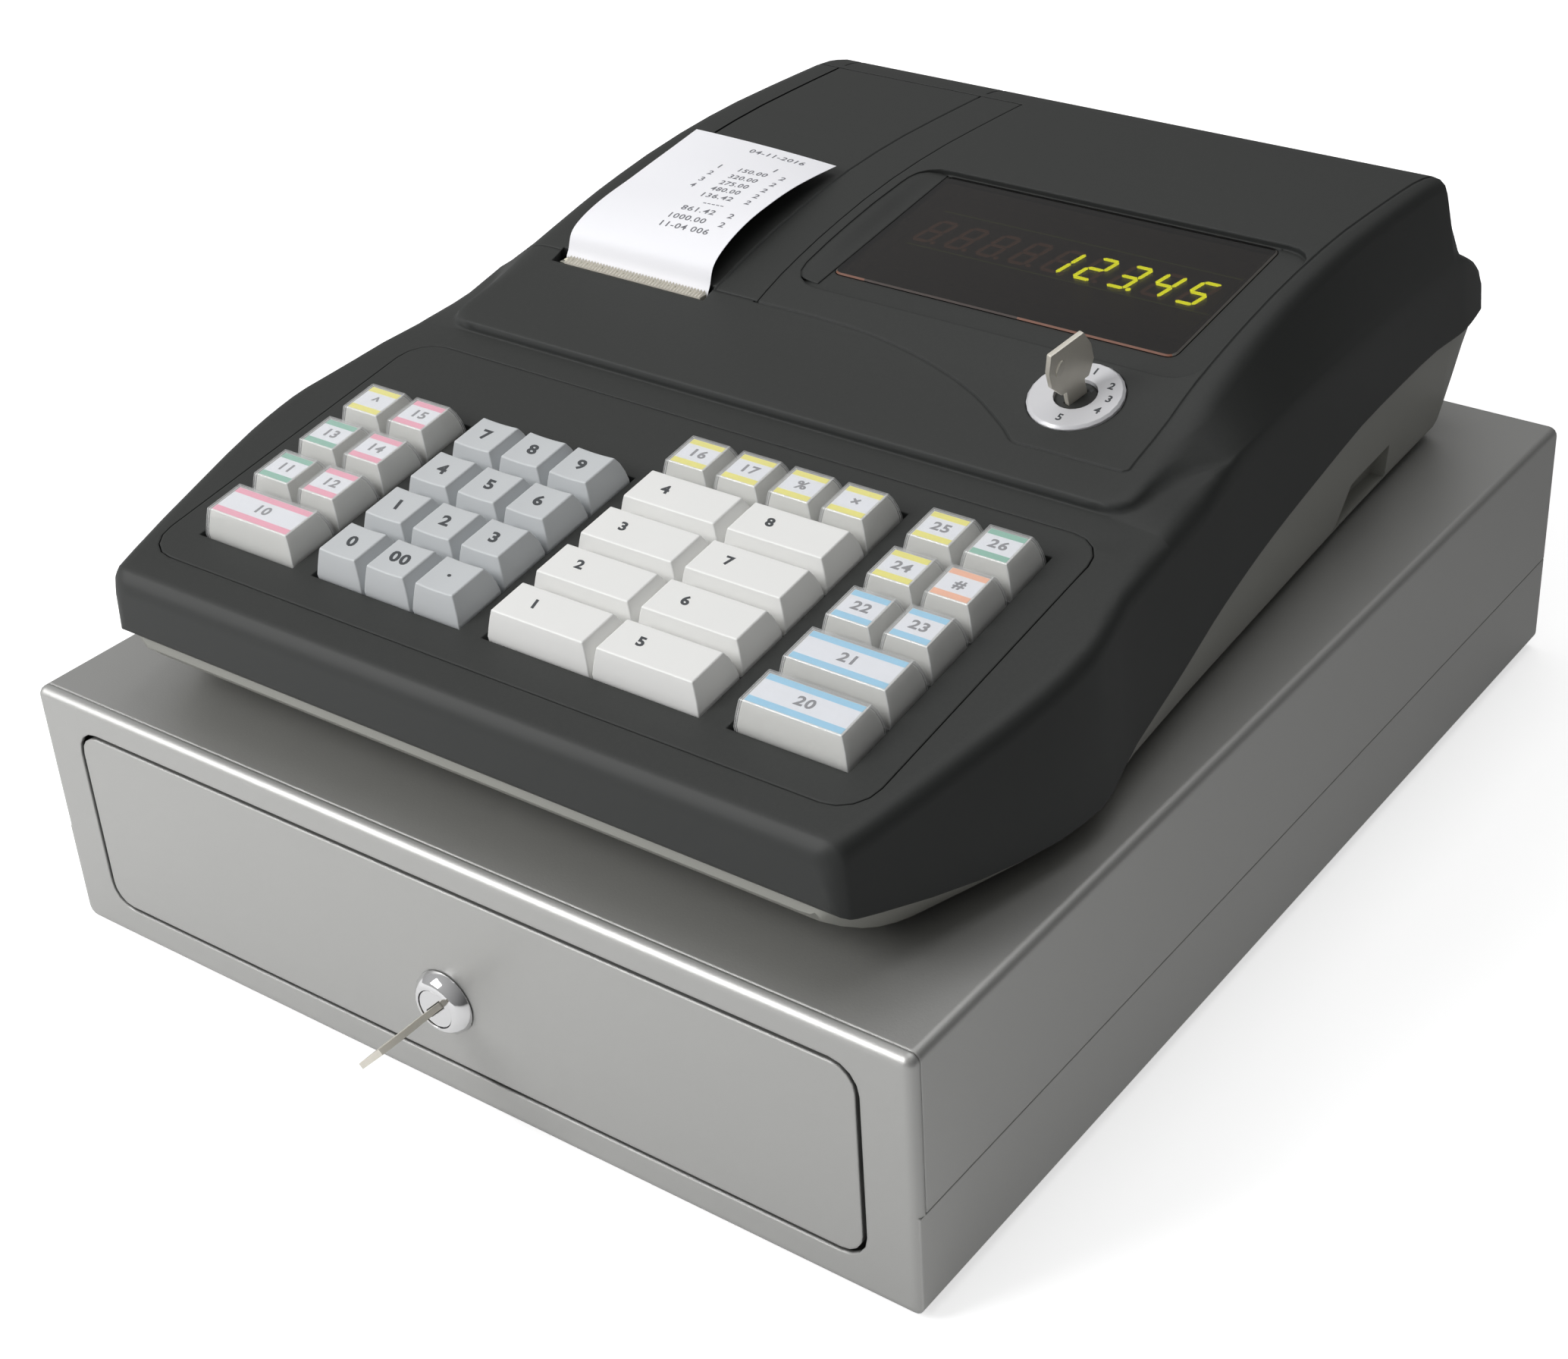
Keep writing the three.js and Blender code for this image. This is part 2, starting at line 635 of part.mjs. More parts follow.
// The printer cover's zone: a box up to the hinge line, rounded about it, grown by a gap
function coverZone(gap, radius) {
  const front = coverFront + coverLeftGap - gap;
  const right = coverRight - coverLeftGap + gap;
  const low = coverSideHeight + coverLeftGap - gap;
  const far = registerHalfWidth + overrun;
  const high = registerHeight + overrun;
  return join([
    block(-far, right, front, hingeY + gap - coverLeftGap + seatGap, low, high),
    rod(alongX, radius, -far, right, [hingeY, hingeZ]),
  ]);
}

const paperSlot = () => block(slotLeft, slotRight, slotFront, slotBack, bayMiddle, registerHeight);

// Where the cover's hinge ears and the housing's hinge walls stand
const hingeEarLeft = bayLeft + hingePostThickness + seatGap;
const hingeEarRight = coverRight - coverLeftGap - seatGap;

function printerCover() {
  const shell = cut(housingOuter, [housingInner, paperSlot()]).intersect(coverZone(0, hingeSweepRadius));
  const ear = (x0, x1) => block(x0, x1, hingeY - hingeEarHalfDepth, hingeY + hingeEarHalfDepth,
    hingeZ - hingeEarHalfDepth, topAt(hingeY) - housingWall / 2);
  const pin = (x0, x1) => rod(alongX, hingePinRadius, x0, x1, [hingeY, hingeZ], curveSteps * 3);
  return join([
    shell,
    ear(hingeEarLeft, hingeEarLeft + hingeEarThickness),
    pin(bayLeft + restGap, hingeEarLeft + hingeEarThickness / 2),
    ear(hingeEarRight - hingeEarThickness, hingeEarRight),
    pin(hingeEarRight - hingeEarThickness / 2, coverRight + bayWall),
  ]);
}

// The printer bay inside the housing: four walls, a floor and a ledge under the cover's left side
function printerBay() {
  const far = registerHalfWidth + overrun;
  const lower = block(bayLeft - bayWall, coverRight + bayWall, bayFront - bayWall, bayBack + bayWall,
    bayFloor - bayWall, bayMiddle + bayOverlap);
  const upper = block(-far, coverRight + bayWall, bayFront - bayWall, bayBack + bayWall, bayMiddle, registerHeight)
    .intersect(housingOuter);
  const underLedge = block(-far, bayLeft - bayWall, bayFront, bayBack, 0, coverSideHeight - bayWall)
    .intersect(housingInner);
  const hollow = block(bayLeft, coverRight, bayFront, bayBack, bayFloor, bayMiddle + overrun)
    .add(block(bayLeft, coverRight, bayFront, bayBack, bayMiddle, registerHeight).intersect(housingInner));
  return { walls: join([lower, upper.subtract(underLedge)]), hollow };
}

// Outlines of the display's window, well and tray, in the display's own tilted frame
const windowOutline = (grow) => roundedRectangle(windowLeft - grow, windowRight + grow, -grow, windowLength + grow,
  windowRadius + grow);
const displayWellOutline = (grow) => roundedRectangle(windowLeft - wellSideMargin - grow,
  windowRight + wellRightMargin + grow, -wellFrontMargin - grow, windowLength + wellBackMargin + grow,
  displayWellRadius);

// The moulded upper housing: a lofted shell with the deck ledge, printer bay, display well and lock seat
function registerHousing() {
  const bay = printerBay();
  const ledgeOutline = (grow, radius) => roundedRectangle(-insertHalfWidth - grow, insertHalfWidth + grow,
    insertStart - grow, insertEnd + grow, radius);
  const ledge = prism(ledgeOutline(ledgeWidth / 2, insertRadius), alongZ, -ledgeDepth, -insertPlate, deckFrame);
  const insertPocket = prism(ledgeOutline(insertEdgeGap, insertRadius + insertEdgeGap), alongZ,
    -insertPlate - seatGap, frontRoll, deckFrame);
  const insertHole = prism(ledgeOutline(-ledgeWidth, insertRadius - ledgeWidth), alongZ,
    -ledgeDepth - frontRoll, frontRoll, deckFrame);
  const displayTray = prism(displayWellOutline(displayTrayWall), alongZ, -displayTrayDepth, displayTrayDepth,
    displayFrame).intersect(housingOuter);
  const displayWell = prism(displayWellOutline(0), alongZ, -windowProud, displayTrayDepth, displayFrame);
  const windowPocket = prism(windowOutline(seatGap), alongZ, -windowThickness - seatGap, displayTrayDepth,
    displayFrame);
  const digitRecess = prism(windowOutline(-digitRecessInset), alongZ,
    -windowThickness - digitRecessDepth, displayTrayDepth, displayFrame);
  const lockSeat = rod(alongZ, ringRadius + seatGap, -ringSeatDepth, frontRoll, [0, 0], roundSides, lockFrame);
  const lockHole = rod(alongZ, controlBarrelRadius + seatGap, -controlBarrelLength, frontRoll, [0, 0], roundSides,
    lockFrame);
  const post = block(bayLeft, bayLeft + hingePostThickness, hingeY - hingeEarHalfDepth, hingeY + hingeEarHalfDepth,
    bayMiddle, hingeZ + hingeEarHalfDepth);
  const pinHole = rod(alongX, hingePinRadius + seatGap, bayLeft - overrun, coverRight + bayWall + overrun,
    [hingeY, hingeZ], curveSteps * 3);
  const shell = housingOuter.subtract(housingInner);
  const body = join([shell, bay.walls, ledge, displayTray]);
  const opened = cut(body, [bay.hollow, coverZone(coverLeftGap, hingeSweepRadius + coverLeftGap), insertPocket,
    insertHole, displayWell, windowPocket, digitRecess, lockSeat, lockHole, paperSlot()]);
  return cut(opened.add(post), [pinHole]);
}

function displayWindow() {
  return prism(windowOutline(0), alongZ, -windowThickness, 0);
}

// The grey base: a tray that rises to the housing's lower edge, with a rounded nose and a raked back
const baseFloorAt = (y) => {
  const nose = Math.min(Math.max((baseFront + baseNoseDepth - y) / baseNoseDepth, 0), 1);
  const tail = Math.max(0, y - baseTailStart) * baseTailSlopeShare;
  return baseStandoff + baseNoseHeight * (1 - Math.sqrt(1 - nose * nose)) + tail;
};

function baseCorners(y) {
  const corner = roundingDrop(y - baseFront, baseCornerRadius);
  const top = [lowerWidthAt(y) - baseStrip - corner, lowerEdgeAt(y) - seatGap];
  const insetShare = 0.6;
  const rise = Math.min(1, (top[1] - baseFloorAt(y)) / baseInset);
  const narrowing = shareAt(y) * (1 - insetShare) * baseInset;
  return [[top[0] + baseStrip - (baseInset - narrowing) * rise, baseFloorAt(y)], top];
}

function baseSection(y) {
  const [low, top] = baseCorners(y);
  return mirrored([...softCorner([0, low[1]], low, top, baseFloorSoftness, curveSteps / 2), top]);
}

function baseInnerSection(y) {
  const near = [y - baseWall, y, y + baseWall].map(baseCorners);
  const least = (corner) => Math.min(...near.map((corners) => corners[corner][0])) - baseWall;
  const floor = Math.max(...near.map((corners) => corners[0][1])) + baseWall;
  const rim = Math.max(...near.map((corners) => corners[1][1])) + overrun;
  return mirrored([[least(0), floor], [least(1), rim + overrun]]);
}

function registerBase() {
  const baseY = (share) => baseFront + share * (baseBack - baseFront);
  const outer = loftAlongY(baseStationShares.map(baseY), baseSection);
  const inner = loftAlongY(baseInnerStationShares.map(baseY), baseInnerSection);
  const pads = [-basePadX, basePadX].flatMap((x) => [basePadFront, basePadBack].map((y) => rod(
    alongZ, basePadRadius, restGap, baseStandoff + baseWall / 2, [x, y], roundSides / 2)));
  const wallX = baseCorners(recessBack)[0][0];
  const far = registerHalfWidth;
  const liner = block(wallX - recessDepth - baseWall, far, recessFront - baseWall, recessBack + baseWall,
    baseStandoff, recessTop + baseWall).intersect(outer);
  const recessOutline = [[recessFront, recessBottom], [recessBack, recessBottom], [recessBack, recessTop],
    [recessFront + recessSlant, recessTop]];
  const recess = prism(recessOutline, alongX, wallX - recessDepth, far);
  const flip = new THREE.Matrix4().makeScale(-1, 1, 1);
  const mirror = (solid) => {
    const geometry = geometryOf(solid).applyMatrix4(flip);
    geometry.setIndex(Array.from(geometry.index.array).reverse());
    return solidOf(geometry);
  };
  const tray = join([outer.subtract(inner), ...pads, liner, mirror(liner)]);
  return cut(tray, [recess, mirror(recess)]);
}

// The printer mechanism: a chassis with cheeks, the platen roller and the toothed tear bar
function printMechanism() {
  const chassis = block(mechanismLeft, mechanismRight, mechanismFront, mechanismBack, bayFloor + restGap,
    mechanismTop - platenRadius);
  const cheek = (x) => block(x, x + mechanismCheek, mechanismFront + mechanismCheek, mechanismBack,
    bayFloor + seatGap, platenZ + platenRadius);
  const platen = rod(alongX, platenRadius, mechanismLeft + overrun, mechanismRight - overrun, [platenY, platenZ],
    roundSides / 2);
  const barBack = slotFront + seatGap + tearBarThickness;
  const bar = block(tearBarLeft, tearBarRight, slotFront + seatGap, barBack, mechanismTop - platenRadius * 2,
    tearBarTop - tearToothHeight);
  const pitch = (tearBarRight - tearBarLeft) / tearTeeth;
  const teeth = [[tearBarLeft, tearBarTop - tearToothHeight * 2], [tearBarRight, tearBarTop - tearToothHeight * 2],
    [tearBarRight, tearBarTop - tearToothHeight]];
  for (let i = tearTeeth - 1; i >= 0; i -= 1) {
    teeth.push([tearBarLeft + (i + 0.5) * pitch, tearBarTop]);
    teeth.push([tearBarLeft + i * pitch, tearBarTop - tearToothHeight]);
  }
  const comb = prism(teeth, alongY, barBack - tearBarThickness / 3, barBack);
  return join([chassis, cheek(mechanismLeft), cheek(mechanismRight - mechanismCheek), platen, bar, comb]);
}

function paperRoll() {
  const [left, right] = [paperLeft + overrun, paperRight - overrun];
  const centre = [rollY, bayFloor + seatGap + rollRadius];
  return rod(alongX, rollRadius, left, right, centre)
    .subtract(rod(alongX, rollCoreRadius, left - overrun, right + overrun, centre, roundSides / 2));
}

// The printed receipt: it leaves the slot upright, arches over the cover and lies back
function receiptPaper() {
  const start = [slotFront + seatGap + tearBarThickness + paperOffset, paperStart];
  const curve = new THREE.SplineCurve(paperPathShares.map(([run, rise]) => new THREE.Vector2(
    start[0] + run * paperRun, start[1] + rise * paperRise)));
  const steps = paperPathShares.length * 2;
  const front = [];
  const back = [];
  for (let i = 0; i <= steps; i += 1) {
    const point = curve.getPoint(i / steps);
    const tangent = curve.getTangent(i / steps);
    front.push([point.x, point.y]);
    back.push([point.x + tangent.y * paperThickness, point.y - tangent.x * paperThickness]);
  }
  return prism([...back, ...front.reverse()], alongX, paperLeft, paperRight);
}

// Control lock: ring with its barrel, rotor and key, in the lock's own frame with Z along its axis
const turnedUp = (profile, sides) => turned(profile, sides).applyMatrix4(new THREE.Matrix4().makeRotationX(Math.PI / 2));

function controlLockRing() {
  const boreRadius = rotorRadius + seatGap;
  return solidOf(turnedUp([[boreRadius, -controlBarrelLength], [controlBarrelRadius, -controlBarrelLength],
    [controlBarrelRadius, -ringSeatDepth + seatGap], [ringRadius, -ringSeatDepth + seatGap],
    [ringRadius, ringRise - ringChamfer], [ringRadius - ringChamfer, ringRise],
    [boreRadius, ringRise]]));
}

// A flat key: blade, shoulders and a six-sided bow, drawn in [across, along] from the shoulder outwards
function keyOutline(bladeDepth) {
  const waistShare = 0.3;
  const widestShare = 0.65;
  const half = [[keyBladeWidth / 2, -bladeDepth], [keyBladeWidth / 2, 0], [keyShoulderWidth / 2, 0],
    [keyBowWidth / 2, keyBowLength * waistShare], [keyBowWidth / 2, keyBowLength * widestShare],
    [keyTopWidth / 2, keyBowLength]];
  return [...half, ...half.map(([u, v]) => [-u, v]).reverse()];
}

function controlKey() {
  const place = new THREE.Matrix4().makeRotationZ(controlKeyTurn)
    .multiply(new THREE.Matrix4().makeTranslation(0, 0, controlKeyShoulder));
  return prism(keyOutline(controlKeyShoulder + keyBladeDepth), alongY, -keyThickness / 2, keyThickness / 2, place);
}

function controlLockRotor() {
  const top = ringRise - rotorRecess;
  const body = rod(alongZ, rotorRadius, -controlBarrelLength, top, [0, 0]);
  const place = new THREE.Matrix4().makeRotationZ(controlKeyTurn);
  const slot = block(-keyBladeWidth / 2 - seatGap, keyBladeWidth / 2 + seatGap, -keyThickness / 2 - seatGap,
    keyThickness / 2 + seatGap, -keyBladeDepth - seatGap, ringRise, place);
  return body.subtract(slot);
}

// Drawer lock, with Y along its axis and Y 0 on the drawer's face
function drawerLockBezel() {
  const boreRadius = plugRadius + seatGap;
  const profile = [[boreRadius, barrelLength], [boreRadius, -bezelRise], [bezelFaceRadius, -bezelRise],
    ...bezelDomeShares.map(([inward, outward]) => [bezelRadius - bezelRise * inward, -bezelRise * outward]),
    [bezelRadius, -seatGap], [barrelRadius, -seatGap], [barrelRadius, barrelLength]];
  const nutFront = drawerRimDepth + seatGap + sheet + seatGap;
  const nut = rod(alongY, lockNutRadius, nutFront, nutFront + lockNutThickness, [0, 0], 6)
    .subtract(rod(alongY, barrelRadius - seatGap, nutFront - overrun, nutFront + lockNutThickness + overrun, [0, 0]));
  return solidOf(turned(profile)).add(nut);
}

const camFront = barrelLength + camGap;

function drawerLockPlug() {
  const body = rod(alongY, plugRadius, -bezelRise + plugFaceInset, camFront + camThickness, [0, 0]);
  const cam = prism(roundedRectangle(-camLength, camHalfWidth, -camHalfWidth, camHalfWidth, camHalfWidth), alongY,
    camFront, camFront + camThickness);
  const place = new THREE.Matrix4().makeRotationY(-drawerKeyTurn);
  const slot = block(-keyBladeWidth / 2 - seatGap, keyBladeWidth / 2 + seatGap, -bezelRise - overrun,
    keyBladeDepth + seatGap, -keyThickness / 2 - seatGap, keyThickness / 2 + seatGap, place);
  return body.add(cam).subtract(slot);
}

function drawerKey() {
  const shoulder = drawerKeyReach - keyBowLength;
  const outline = keyOutline(shoulder + keyBladeDepth).map(([u, v]) => [u, -v - shoulder]);
  return prism(outline.reverse(), alongZ, -keyThickness / 2, keyThickness / 2,
    new THREE.Matrix4().makeRotationY(-drawerKeyTurn));
}

// Cabinet sheet metal: U-shaped outlines with round outer corners, seen from the front
const half = cabinetWidth / 2;

function channelOutline(width, depth, wall, radius) {
  const arc = (r, x, z, from, to) => Array.from({ length: curveSteps + 1 }, (_, i) => {
    const angle = (from + ((to - from) * i) / curveSteps) * Math.PI;
    return [x + r * Math.cos(angle), z + r * Math.sin(angle)];
  });
  const inner = radius - wall;
  return [[width, depth], ...arc(radius, width - radius, radius, 0, -0.5),
    ...arc(radius, radius - width, radius, -0.5, -1), [-width, depth], [wall - width, depth],
    ...arc(inner, radius - width, radius, -1, -0.5), ...arc(inner, width - radius, radius, -0.5, 0),
    [width - wall, depth]];
}

// The front frame: a pressed plate with rounded edges and the drawer's opening
function frontFrame() {
  const r = cabinetEdgeRadius;
  const ring = (y, inset) => roundedRectangle(-half + inset, half - inset, inset, cabinetHeight - inset,
    Math.max(r - inset, r / curveSteps)).map(([x, z]) => [x, y, z]);
  const rings = [];
  for (let i = 0; i <= curveSteps; i += 1) {
    const angle = (i / (2 * curveSteps)) * Math.PI;
    rings.push(ring(r * (1 - Math.cos(angle)), r * (1 - Math.sin(angle))));
  }
  const plate = skin([...rings, ring(frameRimDepth, 0)]);
  const hollow = skin([ring(sheet, r), ring(r, sheet), ring(frameRimDepth + overrun, sheet)]);
  const opening = prism(roundedRectangle(-openingWidth / 2, openingWidth / 2, openingBottom, openingTop,
    openingRadius), alongY, -overrun, r + overrun);
  return cut(plate, [hollow, opening]);
}

// The lock strike: a shelf behind the frame's top border with a lip that the cam turns up behind
function lockStrike() {
  const lipBack = camFront - strikeGap;
  const shelfBottom = openingTop + sheet;
  return join([
    block(-strikeHalfWidth, strikeHalfWidth, sheet / 2, lipBack, shelfBottom, shelfBottom + sheet),
    block(-strikeHalfWidth, strikeHalfWidth, lipBack - sheet, lipBack, shelfBottom - strikeLipDrop,
      shelfBottom + sheet),
  ]);
}

function cabinetPan() {
  const channel = prism(channelOutline(half, seamHeight, sheet, cabinetEdgeRadius), alongY, sheet, cabinetDepth);
  const back = block(-half + sheet, half - sheet, cabinetDepth - sheet, cabinetDepth, sheet / 2, seamHeight);
  const flangeBottom = drawerBoxTop - sheet;
  const shelfTop = flangeBottom - runnerGap;
  const shelfInner = drawerBoxHalfWidth + runnerSideGap;
  const runner = (side) => {
    const x = (from, to) => [side * from, side * to].sort((a, b) => a - b);
    return [
      block(...x(shelfInner, shelfInner + runnerReach), runnerStart, runnerEnd, shelfTop - sheet, shelfTop),
      block(...x(shelfInner + runnerReach - sheet, shelfInner + runnerReach), runnerStart, runnerEnd, sheet / 2,
        shelfTop),
    ];
  };
  const feet = [-half + footInset, half - footInset].flatMap((x) => [footInset, cabinetDepth - footInset]
    .map((y) => rod(alongZ, footRadius, -footHeight, sheet / 2, [x, y], roundSides / 2)));
  return join([channel, back, frontFrame(), lockStrike(), ...runner(-1), ...runner(1), ...feet]);
}

function cabinetCover() {
  const front = frameRimDepth + seatGap;
  const bottom = seamHeight + seatGap;
  const outline = channelOutline(half, cabinetHeight - bottom, sheet, cabinetEdgeRadius)
    .map(([x, z]) => [x, cabinetHeight - z]).reverse();
  const channel = prism(outline, alongY, front, cabinetDepth);
  const back = block(-half + sheet, half - sheet, cabinetDepth - sheet, cabinetDepth, bottom,
    cabinetHeight - sheet / 2);
  const tuck = (side) => {
    const x = (from, to) => [side * from, side * to].sort((a, b) => a - b);
    const inner = half - sheet - seatGap - sheet;
    return [
      block(...x(inner, half - sheet / 2), front + jogglingDepth, cabinetDepth - jogglingDepth, bottom,
        bottom + sheet),
      block(...x(inner, inner + sheet), front + jogglingDepth, cabinetDepth - jogglingDepth,
        seamHeight - jogglingOverlap, bottom + sheet),
    ];
  };
  return join([channel, back, ...tuck(-1), ...tuck(1)]);
}

// The drawer: a steel box on side lips, with its front panel welded on
function drawerBox() {
  const panelHalf = openingWidth / 2 - drawerGap;
  const [panelBottom, panelTop] = [openingBottom + drawerGap, openingTop - drawerGap];
  const panel = (grow, from, to) => prism(roundedRectangle(-panelHalf - grow, panelHalf + grow, panelBottom - grow,
    panelTop + grow, openingRadius - drawerGap + grow), alongY, from, to);
  const wallFront = drawerRimDepth;
  const w = drawerBoxHalfWidth;
  const floorPlate = block(-w, w, wallFront, drawerBoxBack, drawerBoxBottom, drawerBoxBottom + sheet);
  const frontWall = block(-w, w, wallFront, wallFront + sheet, drawerBoxBottom, drawerFrontWallTop);
  const backWall = block(-w, w, drawerBoxBack - sheet, drawerBoxBack, drawerBoxBottom, drawerBoxTop);
  const side = (sign) => {
    const x = (from, to) => [sign * from, sign * to].sort((a, b) => a - b);
    return [
      block(...x(w - sheet, w), wallFront, drawerBoxBack, drawerBoxBottom, drawerBoxTop),
      block(...x(w - sheet / 2, w + runnerLip), wallFront + sheet, drawerBoxBack, drawerBoxTop - sheet,
        drawerBoxTop),
    ];
  };
  const box = join([floorPlate, frontWall, backWall, ...side(-1), ...side(1), panel(0, 0, drawerRimDepth + sheet / 2)]);
  const rimHollow = panel(-sheet, sheet, drawerRimDepth);
  const rimOpen = block(-panelHalf + sheet, panelHalf - sheet, drawerRimDepth - overrun, drawerRimDepth + sheet,
    drawerFrontWallTop, panelTop - sheet - openingRadius / 2);
  const lockHole = rod(alongY, barrelRadius + seatGap, -overrun, drawerRimDepth + sheet + overrun,
    [0, drawerLockHeight]);
  return cut(box, [rimHollow, rimOpen, lockHole]);
}

// The removable cash insert: scooped coin cups in front, note bays with clips behind
const insertHalf = drawerBoxHalfWidth - sheet - insertGap;
const insertFloor = drawerBoxBottom + sheet + restGap;
const insertBack = insertFront + insertDepth;
const bayWidth = (2 * insertHalf - insertWall * (noteBays + 1)) / noteBays;
const noteFront = insertFront + coinRows * (coinRowDepth + insertWall) + insertWall;
const clipHubY = insertBack - insertWall - clipHubSetback;
const clipHubZ = insertTop - clipHubDrop;
const bayCentre = (i) => -insertHalf + insertWall + bayWidth / 2 + i * (bayWidth + insertWall);

function cashInsert() {
  const body = block(-insertHalf, insertHalf, insertFront, insertBack, insertFloor, insertTop);
  const cupWidth = (2 * insertHalf - insertWall * (coinColumns + 1)) / coinColumns;
  const cutters = [];
  for (let row = 0; row < coinRows; row += 1) {
    const y0 = insertFront + insertWall + row * (coinRowDepth + insertWall);
    const y1 = y0 + coinRowDepth;
    const z0 = insertFloor + insertWall;
    const r = coinScoopRadius;
    const scoop = [[y0, insertTop + overrun]];
    for (let i = 0; i <= curveSteps; i += 1) {
      const angle = (1 + i / (2 * curveSteps)) * Math.PI;
      scoop.push([y0 + r + r * Math.cos(angle), z0 + r + r * Math.sin(angle)]);
    }
    for (let i = 0; i <= curveSteps; i += 1) {
      const angle = (1.5 + i / (2 * curveSteps)) * Math.PI;
      scoop.push([y1 - r + r * Math.cos(angle), z0 + r + r * Math.sin(angle)]);
    }
    scoop.push([y1, insertTop + overrun]);
    for (let column = 0; column < coinColumns; column += 1) {
      const x0 = -insertHalf + insertWall + column * (cupWidth + insertWall);
      cutters.push(prism(scoop, alongX, x0, x0 + cupWidth));
    }
  }
  for (let i = 0; i < noteBays; i += 1) {
    const x = bayCentre(i);
    cutters.push(block(x - bayWidth / 2, x + bayWidth / 2, noteFront, insertBack - insertWall,
      insertFloor + insertWall, insertTop + overrun));
  }
  const lugHalfDepth = clipHubSetback;
  const lugInner = clipHubHalfLength + seatGap;
  const lugs = Array.from({ length: noteBays }, (_, i) => bayCentre(i)).flatMap((x) => [-1, 1].map((side) => {
    const [a, b] = [x + side * lugInner, x + side * (lugInner + clipLugThickness)].sort((p, q) => p - q);
    return block(a, b, clipHubY - lugHalfDepth / 2, insertBack - insertWall / 2,
      clipHubZ - lugHalfDepth / 2, clipHubZ + lugHalfDepth / 2);
  }));
  const holes = Array.from({ length: noteBays }, (_, i) => rod(alongX, clipPinRadius + seatGap,
    bayCentre(i) - lugInner - clipPinLength - seatGap, bayCentre(i) + lugInner + clipPinLength + seatGap,
    [clipHubY, clipHubZ], curveSteps * 2));
  return cut(join([cut(body, cutters), ...lugs]), holes);
}

// A note clip: a hub with two pins, an arm that slopes down to the bay's floor and a wide shoe
function noteClip() {
  const drop = clipHubZ - (insertFloor + insertWall + clipRestLift) - clipArmThickness;
  const run = Math.sqrt(clipArmLength * clipArmLength - drop * drop);
  const hub = rod(alongX, clipHubRadius, -clipHubHalfLength, clipHubHalfLength, [0, 0], curveSteps * 3);
  const pins = rod(alongX, clipPinRadius, -clipHubHalfLength - clipPinLength, clipHubHalfLength + clipPinLength,
    [0, 0], curveSteps * 2);
  const t = clipArmThickness;
  const arm = prism([[0, -t], [0, t], [-run, -drop + t], [-run - t, -drop], [-run, -drop - t]].reverse(), alongX,
    -clipArmWidth / 2, clipArmWidth / 2);
  const shoe = prism([[-run + clipShoeLength / 2, -drop - t], [-run + clipShoeLength / 2, -drop],
    [-run - clipShoeLength / 2, -drop + t], [-run - clipShoeLength / 2, -drop]].reverse(), alongX,
    -clipShoeWidth / 2, clipShoeWidth / 2);
  return join([hub, pins, arm, shoe]);
}

// The assembly
const ticketRegister = new THREE.Group();
const rearReach = registerSetback + registerDepth;
ticketRegister.position.y = -(Math.max(rearReach, cabinetDepth) - drawerKeyReach) / 2;

const placed = (parent, matrix) => {
  const group = new THREE.Group();
  group.applyMatrix4(matrix);
  parent.add(group);
  return group;
};
const at = (x, y, z) => new THREE.Matrix4().makeTranslation(x, y, z);

function addPiece(parent, name, geometry, material, x = 0, y = 0, z = 0) {
  const mesh = new THREE.Mesh(geometry, material);
  mesh.name = name;
  mesh.position.set(x, y, z);
  parent.add(mesh);
}

const cabinet = placed(ticketRegister, at(0, 0, footHeight));
addPiece(cabinet, 'cabinet_pan', geometryOf(cabinetPan()), paintedSteel);
addPiece(cabinet, 'cabinet_cover', geometryOf(cabinetCover()), paintedSteel);
addPiece(cabinet, 'drawer_box', geometryOf(drawerBox()), paintedSteel);
addPiece(cabinet, 'cash_insert', geometryOf(cashInsert()), trayPlastic);
const clipGeometry = geometryOf(noteClip());
for (let i = 0; i < noteBays; i += 1) {
  addPiece(cabinet, `note_clip_${i + 1}`, clipGeometry, greyPlastic, bayCentre(i), clipHubY, clipHubZ);
}
addPiece(cabinet, 'drawer_lock_bezel', geometryOf(drawerLockBezel()), chrome, 0, 0, drawerLockHeight);
addPiece(cabinet, 'drawer_lock_plug', geometryOf(drawerLockPlug()), chrome, 0, 0, drawerLockHeight);
addPiece(cabinet, 'drawer_key', geometryOf(drawerKey()), keySteel, 0, 0, drawerLockHeight);

const register = placed(cabinet, at(0, 0, cabinetHeight));
addPiece(register, 'register_housing', geometryOf(registerHousing()), darkPlastic);
addPiece(register, 'register_base', geometryOf(registerBase()), greyPlastic);
addPiece(register, 'printer_cover', geometryOf(printerCover()), darkPlastic);
addPiece(register, 'print_mechanism', geometryOf(printMechanism()), zincSteel);
addPiece(register, 'paper_roll', geometryOf(paperRoll()), paperWhite);
addPiece(register, 'receipt_paper', geometryOf(receiptPaper()), paperWhite);

const display = placed(register, displayFrame);
addPiece(display, 'display_window', geometryOf(displayWindow()), smokedAcrylic);

const controlLock = placed(register, lockFrame);
addPiece(controlLock, 'control_lock_ring', geometryOf(controlLockRing()), silverPlastic);
addPiece(controlLock, 'control_lock_rotor', geometryOf(controlLockRotor()), darkPlastic);
addPiece(controlLock, 'control_key', geometryOf(controlKey()), keySteel);

const deck = placed(register, deckFrame);
addPiece(deck, 'keyboard_insert', geometryOf(keyboardInsert()), darkPlastic);
const capGeometries = new Map([1, 2].map((span) => [span, geometryOf(keyCap(span))]));
for (const { name, span, x, y } of keyPlaces) {
  const material = /digit|point/.test(name) ? numberKeyPlastic : paleKeyPlastic;
  addPiece(deck, `key_${name}`, capGeometries.get(span), material, x, y, 0);
}

export default ticketRegister;
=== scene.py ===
"""Looks of an electronic ticket register that stands on its cash drawer."""

import json
import logging
import math
from dataclasses import dataclass, field
from enum import Enum
from typing import Callable, Iterable, Optional, Sequence

import bpy
from mathutils import Matrix, Vector


